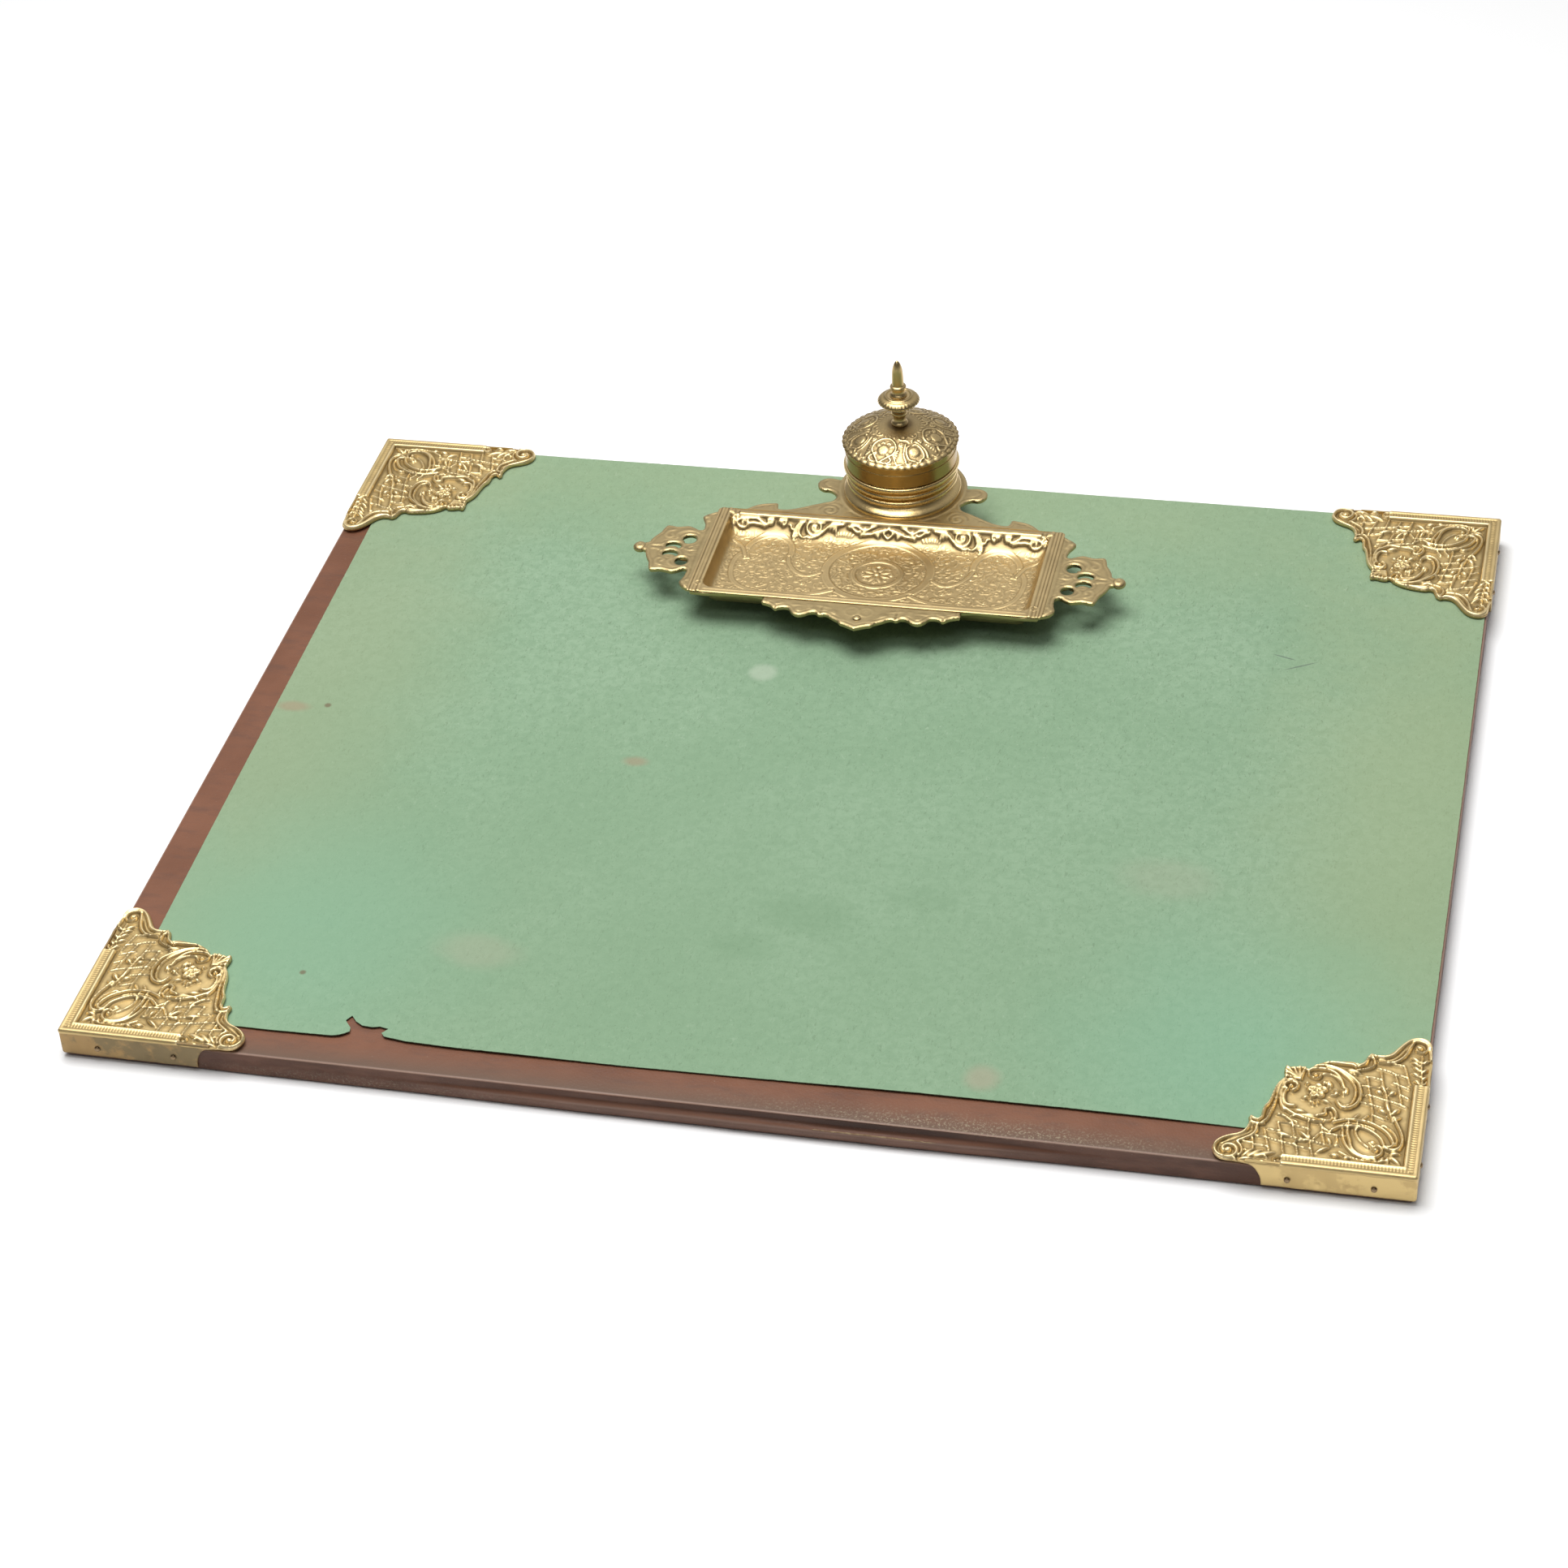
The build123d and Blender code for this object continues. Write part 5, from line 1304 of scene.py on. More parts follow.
def plate_relief():
    g = 0.5
    R = Relief(np.arange(-114.6, 114.7, g), np.arange(-52.4, 99.5, g))
    X, Y = R.X, R.Y
    AX = np.abs(X)
    a0 = math.atan2(70.0 - WELL_V, 31.0)
    q = np.linspace(a0 + 0.03, math.pi / 2, 15)
    half = np.vstack([curve(half_edge, 4), np.c_[31.3 * np.cos(q), WELL_V + 31.3 * np.sin(q)]])
    full = np.vstack([half, (half * [-1, 1])[-2:0:-1]])
    D = sdf_poly(X, Y, full)
    D = np.minimum(D, -sdf_box(X, Y, -79.2, 79.2, -29.2, 34.7, 7.2))
    for s in (-1, 1):
        U = X * s
        hole = (1 - np.hypot((U - 92.6) / 3.45, (Y - 10.2) / 3.6)) * 3.5
        point = 1.0 - np.hypot(U - 95.6, (Y - 8.0) * 1.3)
        D = np.minimum(D, -np.minimum(hole, -point))
        D = np.minimum(D, -(1 - np.hypot((U - 92.4) / 3.15, (Y + 8.2) / 3.3)) * 3.2)
        for v in (4.5, -2.3):
            top = (1 - np.hypot((U - 99.1) / 3.9, (Y - v + 0.4) / 2.9)) * 3.2
            low = (1 - np.hypot((U - 99.3) / 3.1, (Y - v + 2.7) / 1.8)) * 2.2
            D = np.minimum(D, -np.minimum(top, -low))
    R.H += 0.02 * lumps(X, Y, 3.0, 12)
    for s in (-1, 1):
        def mir(pts, s=s):
            return [(s * p[0], p[1]) for p in pts]
        # ears behind the tray: engraved volutes and small curls
        t = np.radians(np.linspace(0, 620, 40))
        r = np.linspace(5.2, 0.7, 40)
        R.groove(mir(list(zip(31 + r * np.cos(t), 43.2 + r * np.sin(t)))), 0.42, 0.30, 1)
        R.groove(mir([(25.6, 46.4), (27.2, 49.0), (30.8, 49.6), (34.8, 48.2)]), 0.36, 0.2)
        R.groove(mir([(19.4, 41.0), (20.4, 42.4), (22.2, 42.2), (22.8, 41.2)]), 0.36, 0.2)
        R.groove(mir([(41.5, 42.4), (42.8, 43.5), (44.2, 42.7)]), 0.36, 0.2)
        R.groove(mir([(60.5, 43.6), (61.6, 42.4), (63.4, 42.9), (64.6, 41.9)]), 0.36, 0.25)
        R.groove(mir([(66.5, 41.0), (64.0, 41.0), (60.4, 41.2)]), 0.3, 0.2)
        R.groove(mir([(34.5, 62.2), (36.8, 63.4), (38.8, 65.8), (37.6, 68.0)]), 0.4, 0.25)
        # grip: scrolls in low relief round the piercings
        for pts, w, h in (
                ([(89.6, 16.0), (92.6, 17.2), (96.6, 16.4), (99.4, 13.4), (98.6, 10.4)], 0.7, 0.22),
                ([(89.6, -13.2), (93.0, -13.4), (96.8, -12.0), (98.6, -9.4), (97.4, -7.0)], 0.7, 0.22),
                ([(101.2, 16.8), (104.2, 15.0), (104.8, 12.0), (103.0, 10.2), (101.0, 11.4), (101.8, 13.2)], 0.6, 0.26),
                ([(101.4, -12.8), (104.2, -11.2), (104.6, -8.4), (102.8, -6.8), (101.0, -8.0), (101.8, -9.8)], 0.6, 0.26),
                ([(103.6, 5.0), (106.4, 3.6), (108.8, 3.4)], 0.6, 0.25),
                ([(103.6, -1.0), (106.4, 0.2), (108.8, 0.4)], 0.6, 0.25),
                ([(94.0, 2.4), (91.4, 1.0), (89.2, 1.2), (88.6, 3.0), (89.8, 4.2), (91.0, 3.2)], 0.6, 0.28)):
            R.ridge(mir(pts), w, h)
        R.groove(mir([(103.0, 2.0), (106.4, 2.0), (109.4, 2.0)]), 0.36, 0.26)
        for k, v in enumerate((4.4, 2.8, 0.4, -1.4, -3.2)):
            R.groove(mir([(86.8, v), (88.4, v - 0.5), (90.2, v + (0.4 if k % 2 else -0.6))]), 0.34, 0.20)
        R.groove(mir([(86.0, 21.0), (86.4, 8.0), (86.4, -6.0), (86.0, -20.0)]), 0.35, 0.25)
        R.ridge(mir([(85.2, 34.0), (87.4, 30.6), (87.0, 26.0)]), 0.7, 0.3)
        R.ridge(mir([(85.6, -23.0), (87.2, -25.0), (85.6, -27.6)]), 0.7, 0.3)
        R.dot((s * 88.6, 29.4), 1.2, 0.4)
        R.dot((s * 87.4, -25.2), 1.1, 0.35)
        # apron: worn leaves that run out from the middle
        for p0, p1, w in (((9.0, -44.0), (4.6, -46.6), 0.8), ((14.6, -39.8), (9.4, -41.6), 0.9),
                          ((24.6, -38.6), (18.0, -39.4), 0.8), ((30.4, -40.2), (26.0, -41.2), 0.8),
                          ((33.2, -36.6), (26.0, -36.4), 0.7), ((41.2, -36.8), (36.0, -36.6), 0.7),
                          ((21.0, -35.4), (13.0, -37.0), 0.7)):
            R.leaf((s * p0[0], p0[1]), (s * p1[0], p1[1]), w, 0.24, 0.08)
        for c, r, a in (((23.6, -36.6), 1.4, 40), ((37.6, -35.4), 1.2, 150), ((11.6, -39.4), 1.3, 200),
                        ((28.2, -39.2), 1.3, 300), ((43.6, -35.2), 1.0, 20)):
            R.spiral((s * c[0], c[1]), r, 1.2, a if s > 0 else 180 - a, 0.34, 0.22, 0.4, 0.3, hand=s)
        R.ring((s * 3.4, -38.2), 3.2, 0.35, 0.16)
        for v in (-40.7, -35.6):
            R.groove(mir([(17.6, v if v > -38 else -41.9), (17.7, -41.2)]), 0.4, 0.3)
            R.groove(mir([(39.6, -39.6), (39.7, -38.9)]), 0.4, 0.3)
    q = np.linspace(0, 2 * np.pi, 24)
    R.groove(np.c_[2.1 * np.cos(q), -43.2 + 1.5 * np.sin(q)], 0.34, 0.30, 1)
    ring_d = np.abs(np.hypot(X, Y - WELL_V) - 30.2)
    R.H = np.where((Y > 40) & (ring_d < 0.7), np.maximum(R.H, 0.3 * (1 - (ring_d / 0.7) ** 2)), R.H)
    H = blur(R.H, 1)
    cav = H - blur(H, 8)
    # a thin line struck just inside the edge
    H = H - 0.16 * np.exp(-((D - 1.9) / 0.30) ** 2)
    cav = cav * 1.6 - 0.10 * np.exp(-((D - 1.9) / 0.34) ** 2)
    H = H - 0.55 * (1 - np.clip(D / 0.8, 0, 1)) ** 2
    keep = (AX < 84.0) & (Y > -32.3) & (Y < 37.8)
    H = np.where(keep, np.minimum(H, 0.0), H)
    return X, Y, 29.35 + H, D, cav


X, Y, Z, D, cav = plate_relief()
plate = cast("stand_plate_cast", X, Y, Z, D, on_stand, M_STAND, "inkstand",
             [(0.0, 28.3), (-0.10, 27.45), (-0.45, 27.0)], cav=cav, angle=50)
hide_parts("stand_plate")


def ball_grip(s):
    """Flattened button with a collar at the end of a grip."""
    V, faces = [], []
    nu, nv = 28, 40
    cx, cz = s * 115.0, 28.1
    for i in range(nu + 1):
        a = math.pi * i / nu
        for k in range(nv):
            b = 2 * math.pi * k / nv
            r = 3.3 * math.sin(a) ** 0.85
            zz = 3.3 * math.cos(a) * 0.62
            dimple = 0.35 * math.exp(-(r / 1.1) ** 2) if a < math.pi / 2 else 0
            V.append((cx + r * math.cos(b), 2.0 + r * 1.05 * math.sin(b), cz + zz - dimple))
    for i in range(nu):
        for k in range(nv):
            k2 = (k + 1) % nv
            faces.append([i * nv + k, (i + 1) * nv + k, (i + 1) * nv + k2, i * nv + k2])
    V = np.array(V)
    x, y, z = on_stand(V[:, 0], V[:, 1], V[:, 2])
    ob = new_object("grip_button_%s" % ("left" if s < 0 else "right"), np.c_[x, y, z], faces, M_STAND, "inkstand", 60)


ball_grip(-1)
ball_grip(1)

FRIEZE = [
    (0.55, [(-73.4, 31.5), (-74.1, 30.6), (-72.5, 29.0), (-70.6, 28.7), (-69.3, 29.5), (-69.6, 30.9), (-70.9, 31.4), (-71.9, 30.7), (-71.5, 30.0)]),
    (0.60, [(-75.0, 30.8), (-73.4, 31.7), (-71.2, 32.3), (-68.2, 32.6), (-65.5, 32.7)]),
    (0.70, [(-69.3, 32.4), (-68.8, 31.2), (-68.4, 29.9)]),
    (0.60, [(-68.5, 30.5), (-65.9, 30.7), (-63.1, 30.4), (-60.3, 29.7)]),
    (0.65, [(-65.5, 32.8), (-63.2, 32.0), (-60.8, 30.9), (-59.2, 30.2)]),
    (0.55, [(-64.0, 33.1), (-64.3, 33.6), (-63.7, 33.8)]),
    (0.60, [(-59.3, 32.2), (-57.4, 32.9), (-56.5, 32.1), (-56.9, 30.9), (-58.4, 30.8), (-59.0, 31.4)]),
    (0.60, [(-53.8, 31.8), (-53.0, 32.7), (-51.8, 31.9), (-52.7, 31.3)]),
    (0.65, [(-52.0, 33.3), (-50.3, 32.5), (-50.2, 31.3), (-51.4, 30.5)]),
    (0.50, [(-48.4, 31.1), (-47.3, 30.5), (-47.4, 29.7), (-46.4, 29.3)]),
    (0.60, [(-41.0, 32.7), (-42.5, 31.0), (-43.3, 29.5), (-42.8, 27.6), (-41.1, 26.0), (-39.3, 26.8)]),
    (0.75, [(-33.2, 28.0), (-34.9, 27.5), (-37.4, 27.8), (-39.2, 29.3), (-39.6, 31.3), (-38.1, 32.8), (-35.7, 33.2), (-33.5, 32.3), (-32.8, 30.4), (-34.1, 29.1), (-36.0, 29.1), (-37.3, 30.2), (-36.8, 31.2), (-35.4, 31.1), (-35.1, 30.2)]),
    (0.80, [(-34.3, 32.5), (-32.9, 33.1), (-31.7, 33.0)]),
    (0.50, [(-39.3, 27.0), (-37.4, 26.3), (-35.3, 26.6), (-34.0, 27.3)]),
    (0.65, [(-33.1, 28.0), (-31.2, 29.7), (-29.2, 31.4), (-26.8, 32.7), (-24.2, 33.2)]),
    (0.55, [(-28.4, 30.5), (-27.5, 31.4), (-26.3, 30.8), (-26.9, 30.1)]),
    (0.55, [(-26.5, 31.9), (-25.3, 31.1), (-25.3, 29.7)]),
    (0.60, [(-27.1, 32.9), (-24.9, 32.2), (-22.8, 32.6), (-21.2, 33.4)]),
    (0.60, [(-19.6, 31.9), (-17.4, 31.3), (-15.3, 30.2), (-13.7, 30.3)]),
    (0.60, [(-18.3, 32.5), (-16.1, 32.4), (-13.5, 31.6), (-11.8, 30.7)]),
    (0.70, [(-13.2, 28.9), (-11.4, 30.5), (-8.7, 31.9), (-6.1, 33.3)]),
    (0.60, [(-12.9, 29.0), (-10.0, 29.5), (-7.1, 30.0), (-5.5, 30.8)]),
    (0.50, [(-11.7, 31.7), (-9.6, 31.5), (-8.3, 32.6)]),
]
FAN_C = (-42.6, 27.9)
FAN_E = [(-42.3, 32.6), (-43.3, 32.3), (-44.2, 31.8), (-44.9, 31.1), (-45.4, 30.4), (-45.8, 29.6),
         (-46.1, 28.8), (-46.3, 27.9), (-46.4, 27.1), (-46.1, 26.2), (-45.3, 25.4)]
LOWRIBS = [[(-25.7, 29.6), (-25.1, 28.2)], [(-24.4, 29.7), (-24.0, 28.5)], [(-23.0, 29.7), (-22.8, 28.6)],
           [(-21.5, 29.7), (-21.6, 28.5)], [(-20.0, 29.5), (-20.5, 28.4)], [(-18.4, 29.4), (-19.1, 28.2)],
           [(-16.9, 29.1), (-17.6, 28.1)]]


def tray_surface():
    g = 0.41
    R = Relief(np.arange(-85.3, 85.4, g), np.arange(-33.5, 39.1, g))
    X, Y = R.X, R.Y
    AX = np.abs(X)
    D = sdf_box(X, Y, -84.3, 84.3, -32.5, 38.0, 2.2)
    floor_z = 22.4
    depth = 30.0 - floor_z

    def side(d):
        s = np.clip(1 - d / 6.4, 0, 1)
        return np.where(d <= 0, 30.0, floor_z + depth * (1 - np.sqrt(np.clip(1 - s ** 1.9, 0, 1))))

    def rear(d):
        return np.interp(d, [-1, -0.4, 0.0, 0.5, 6.6, 8.4, 10.2, 12.2, 14.2],
                         [29.7, 29.6, 29.35, 29.0, 24.5, 23.5, 22.9, 22.5, floor_z])
    inner = sdf_box(X, Y, -77.6, 77.6, -28.4, 60, 5.0)
    zs, zr, zf = side(inner), rear(33.6 - Y), side(inner)
    k = 0.9
    base = k * np.log(np.exp((zs - 26) / k) + np.exp((zr - 26) / k) + np.exp((zf - 26) / k) +
                      np.exp((floor_z - 26) / k)) + 26
    base = np.minimum(base - k * np.log(1 + 2 * np.exp(-(base - floor_z) / k)) * 0, 30.0)
    base = base - (np.median(base[(AX < 30) & (np.abs(Y) < 10)]) - floor_z) * np.clip((30.0 - base) / depth, 0, 1)
    # ---- ornament, in the plane
    F = Relief(R.xs, R.ys)
    for s in (-1, 1):
        def mir(pts, s=s):
            return [(-s * p[0], p[1]) for p in pts]
        for w, pts in FRIEZE:
            F.ridge(mir(pts), w * 1.12, 0.95, power=0.55)
        F.dot(mir([(-71.2, 30.2)])[0], 0.8, 1.0)
        F.dot(mir([(-35.6, 30.2)])[0], 0.95, 1.05)
        F.dot(mir([(-52.6, 31.9)])[0], 0.95, 1.0)
        F.dot(mir([(-57.6, 31.7)])[0], 0.8, 1.0)
        for e in FAN_E:
            c = FAN_C
            F.ridge(mir([(c[0] + 0.35 * (e[0] - c[0]), c[1] + 0.35 * (e[1] - c[1])), e]), (0.35, 0.5), (0.7, 0.95), n=4)
        for rb in LOWRIBS:
            F.ridge(mir(rb), 0.34, 0.6, n=3)
        for e in ((-1.6, 31.8), (-2.6, 31.4), (-3.6, 30.6), (-4.2, 29.6), (-4.6, 28.6)):
            F.ridge(mir([(-7.6, 30.6), e]), (0.35, 0.6), (0.7, 0.95), n=3)
        # spiral that turns the corner
        F.spiral((s * 76.0, 31.2), 2.2, 1.5, 90, 0.45, 0.7, 0.5, 0.5, hand=s)
    F.ridge([(0, 32.3), (2.5, 30.3), (0, 28.3), (-2.5, 30.3), (0, 32.3)], 0.62, 0.95, line=True)
    # lip with a wavy lower edge between the frieze and the rear roll
    edge_v = 32.9 + 0.35 * np.sin(X / 3.1) * np.sin(X / 8.3 + 1.0)
    zone = (AX < 76.6)
    F.H = np.where(zone & (Y > edge_v - 0.6), np.maximum(F.H, 0.55 * smooth01((Y - edge_v) / 0.4)), F.H)
    F.H = F.H * smooth01((34.2 - Y) / 0.5)
    frieze = F.H.copy()
    # ---- floor: strapwork bands over close arabesque, the same each side
    G = Relief(R.xs, R.ys)
    rng = np.random.default_rng(17)
    for i in range(-1, 24):
        for j in range(-1, 18):
            u = 2.2 + i * 3.75 + rng.uniform(-0.9, 0.9) + (j % 2) * 1.8
            v = -28.0 + j * 3.6 + rng.uniform(-0.9, 0.9)
            if u > 76 or v > 27.5 or v < -27.5 or u < 1.2:
                continue
            a0, hand, kind = rng.uniform(0, 360), rng.choice([-1, 1]), rng.uniform()
            r = rng.uniform(1.2, 2.0)
            for s in (-1, 1):
                am = a0 if s > 0 else 180 - a0
                if kind < 0.55:
                    G.spiral((s * u, v), r, 1.15, am, 0.36, 0.30, 0.45, 0.42, hand=int(hand * s))
                    t = math.radians(am)
                    e = (s * u + (r + 1.7) * math.cos(t + hand * s * -0.6), v + (r + 1.7) * math.sin(t + hand * s * -0.6))
                    G.ridge([(s * u + r * math.cos(t), v + r * math.sin(t)), e], 0.34, 0.28, n=3)
                elif kind < 0.8:
                    for q in (-0.6, 0.0, 0.6):
                        t = math.radians(am) + q
                        G.leaf((s * u, v), (s * u + 2.6 * math.cos(t), v + 2.6 * math.sin(t)), 0.55, 0.34, 0.06)
                else:
                    t = math.radians(am)
                    G.ridge([(s * u - 2 * math.cos(t), v - 2 * math.sin(t)),
                             (s * u - 0.8 * math.sin(t), v + 0.8 * math.cos(t)),
                             (s * u + 2 * math.cos(t), v + 2 * math.sin(t))], 0.36, 0.30, n=4)
    arab = G.H

    def ell(cx, cy, rx, ry):
        """Distance to an ellipse, near enough for a band."""
        q = np.hypot((X - cx) / rx, (Y - cy) / ry)
        return np.abs(q - 1) * (rx + ry) / 2

    def polyd(pts):
        P = curve(pts, 8)
        best = np.full(X.shape, 99.0)
        for (ax, ay), (bx, by) in zip(P[:-1], P[1:]):
            ex, ey = bx - ax, by - ay
            L = ex * ex + ey * ey + 1e-12
            t = np.clip(((X - ax) * ex + (Y - ay) * ey) / L, 0, 1)
            np.minimum(best, np.hypot(X - ax - t * ex, Y - ay - t * ey), out=best)
        return best
    bands = [(ell(0, 4.0, 25.0, 23.0), 2.0), (ell(0, 2.2, 11.4, 10.6), 1.25)]
    for s in (-1, 1):
        bands.append((ell(s * 55.0, 14.0, 11.0, 13.0) + np.where(Y < 7, 9, 0), 1.7))
        bands.append((polyd([(s * 18.6, -13.4), (s * 27, -17.4), (s * 37, -18.6), (s * 48, -19.6), (s * 60, -17.4),
                             (s * 67, -11.6), (s * 70.0, -2.0), (s * 69.4, 8.0), (s * 66.0, 13.5)]), 1.3))
        bands.append((polyd([(s * 27.0, 0.0), (s * 33.0, -3.4), (s * 38.4, -1.0), (s * 43.0, 5.0), (s * 44.6, 10.0)]), 1.1))
        bands.append((polyd([(s * 65.6, 9.0), (s * 69.0, 17.0), (s * 73.4, 21.0)]), 1.0))
    relief = arab * 1.0
    for d, w in bands:
        flat = smooth01((w - d) / 0.35)
        lip = np.exp(-((d - w + 0.45) / 0.28) ** 2)
        relief = relief * (1 - smooth01((w + 0.55 - d) / 0.5)) + flat * 0.34 + lip * 0.12
    # small leaves in the middle of the medallion, and wreaths inside the bands
    M = Relief(R.xs, R.ys)
    for k in range(8):
        a = math.pi * (k + 0.5) / 4
        M.leaf((1.6 * math.cos(a), 2.2 + 1.6 * math.sin(a)), (7.4 * math.cos(a), 2.2 + 7.0 * math.sin(a)), 1.15, 0.5, 0.12)
        b = math.pi * k / 4
        M.spiral((7.0 * math.cos(b), 2.2 + 6.6 * math.sin(b)), 1.3, 1.1, math.degrees(b) + 90, 0.32, 0.4, 0.4, 0.35)
    M.dot((0, 2.2), 1.3, 0.6)
    for k in range(26):
        a = 2 * math.pi * k / 26
        c = (17.6 * math.cos(a), 3.2 + 16.4 * math.sin(a))
        M.leaf(c, (c[0] + 2.6 * math.cos(a + 0.9 * (-1) ** k), c[1] + 2.6 * math.sin(a + 0.9 * (-1) ** k)), 0.62, 0.42, 0.08)
    inside = smooth01((9.6 - np.hypot(X, (Y - 2.2) * 1.05)) / 0.5)
    annul = smooth01((22.4 - np.hypot(X, (Y - 4) * 1.08)) / 0.5) * smooth01((np.hypot(X, (Y - 2.2) * 1.05) - 13.2) / 0.5)
    relief = relief * (1 - inside) + inside * M.H
    relief = np.maximum(relief, annul * M.H)
    on_floor = smooth01((28.2 - Y) / 1.2) * smooth01((75.2 - AX) / 1.4) * smooth01((Y + 26.6) / 1.2)
    relief = relief * on_floor * 0.78
    # rim mouldings
    rim = np.zeros(X.shape)
    d = AX - 77.6
    rim += 0.28 * np.clip(1 - ((d - 0.9) / 0.95) ** 2, 0, 1) - 0.30 * np.exp(-((d - 2.1) / 0.24) ** 2) \
        - 0.20 * np.exp(-((d - 3.5) / 0.22) ** 2) + 0.16 * np.clip(1 - ((d - 4.4) / 0.6) ** 2, 0, 1) \
        - 0.26 * np.exp(-((d - 5.3) / 0.22) ** 2)
    rim *= smooth01((AX - 77.2) / 0.6)
    r3 = -28.8 - Y
    rim += 0.16 * np.clip(1 - ((r3 - 1.0) / 0.8) ** 2, 0, 1) * smooth01((77.0 - AX) / 0.8)
    # corner bosses of the front rim
    for s in (-1, 1):
        c = np.hypot(AX - 79.6, Y + 25.6)
        rim += 0.10 * np.exp(-((c - 1.7) / 0.4) ** 2) - 0.10 * np.exp(-((c - 0.9) / 0.35) ** 2)
    # rear roll, pinched near each end and finished with a bulb
    def roll(c, r, top, x0, x1, end):
        h = top - r * 0.72 + r * 0.72 * np.sqrt(np.clip(1 - ((Y - c) / r) ** 2, 0, 1))
        reach = np.clip(np.minimum(X - x0, x1 - X) / end, 0, 1)
        return np.where(np.abs(Y - c) < r, top - (top - 27.4) * (1 - np.sqrt(1 - (1 - reach) ** 2)) - (top - h), 0)
    big = roll(35.2, 2.3, 30.45, -74.4, 74.4, 1.2)
    for x0, x1 in ((-80.6, -74.6), (74.6, 80.6)):
        big = np.maximum(big, roll(35.2, 2.35, 30.5, x0, x1, 2.4))
    base = np.where((Y > 31.8), np.maximum(base, big), base)
    tot = blur(frieze, 1) * 1.0 + relief + rim
    tot = np.where((big > base - 0.01) & (Y > 32.8), tot * 0.2, tot)
    cav = (frieze - blur(frieze, 16)) * 1.0 + (relief - blur(relief, 5)) * 1.0 + (rim - blur(rim, 4)) * 1.2
    # raise along the surface's own direction
    gx = np.gradient(base, axis=0) / g
    gy = np.gradient(base, axis=1) / g
    n = 1 / np.sqrt(1 + gx ** 2 + gy ** 2)
    X2, Y2 = X - gx * n * tot * 0.9, Y - gy * n * tot * 0.9
    Z2 = base + n * tot
    Z2 = Z2 - 0.28 * (1 - np.clip(D / 0.6, 0, 1)) ** 2
    return X, Y, X2, Y2, np.minimum(Z2, 30.55), D, cav


TX, TY, X2, Y2, Z2, D, cav = tray_surface()


def dish_under(x, y):
    x, y = np.asarray(x, float), np.asarray(y, float)
    d = sdf_box(x, y, -78.6, 78.6, -28.6, 34.1, 7.0)
    s = np.clip(1 - d / 5.0, 0, 1)
    z = np.where(d <= 0, 29.4, 19.6 + 9.8 * (1 - np.sqrt(np.clip(1 - s ** 2.2, 0, 1))))
    return np.minimum(z, 29.4)


tray = cast("pen_tray_chased", X2, Y2, Z2, D, on_stand, M_TRAY, "inkstand",
            [(0.0, 29.75), (-0.12, 29.4)], bottom=dish_under, cav=cav, angle=55, extra=2.4)
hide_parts("pen_tray")

# ---------------------------------------------------------------- inkwell
WX, WY = SX_, SY_ + WELL_V
base_prof = [(2.2, 29.42), (14, 29.42), (28.2, 29.42), (28.35, 29.6), (28.35, 30.7), (28.1, 31.2), (27.5, 31.75), (26.9, 32.2),
             (26.2, 32.7), (25.6, 33.2), (25.15, 33.7), (24.95, 34.2), (25.1, 34.6), (25.65, 34.9), (26.25, 35.3),
             (26.7, 35.9), (26.85, 36.55), (26.7, 37.2), (26.2, 37.75), (25.5, 38.1), (24.95, 38.35), (24.85, 38.6),
             (25.0, 38.85), (25.6, 39.05), (26.25, 39.4), (26.7, 40.0), (26.85, 40.6), (26.7, 41.2), (26.2, 41.7),
             (25.65, 42.0), (25.35, 42.25), (25.5, 42.5), (26.2, 42.8), (27.0, 43.25), (27.6, 43.8), (27.9, 44.5),
             (27.85, 45.2), (27.5, 45.75), (27.0, 46.0), (24.2, 46.0), (23.85, 45.8), (23.8, 40), (23.8, 31.2), (14, 31.05), (2.2, 31.0)]
ob = lathe("inkwell_base_turned", base_prof, WX, WY, M_TURNED, "inkstand", 160, 4)
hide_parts("inkwell_base")
band_prof = [(25.45, 46.35), (26.4, 46.32), (26.7, 46.4), (26.8, 46.7), (26.8, 50), (26.8, 52.9), (26.78, 53.15),
             (26.5, 53.3), (26.45, 53.6), (26.45, 55), (26.45, 57.4), (26.2, 57.58), (24.5, 57.58), (24.42, 56.8),
             (25.3, 56.1), (25.4, 55.6), (25.4, 50)]
ob = lathe("lid_band_polished", band_prof, WX, WY, M_BAND, "lid", 160, 4)
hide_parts("lid_band")


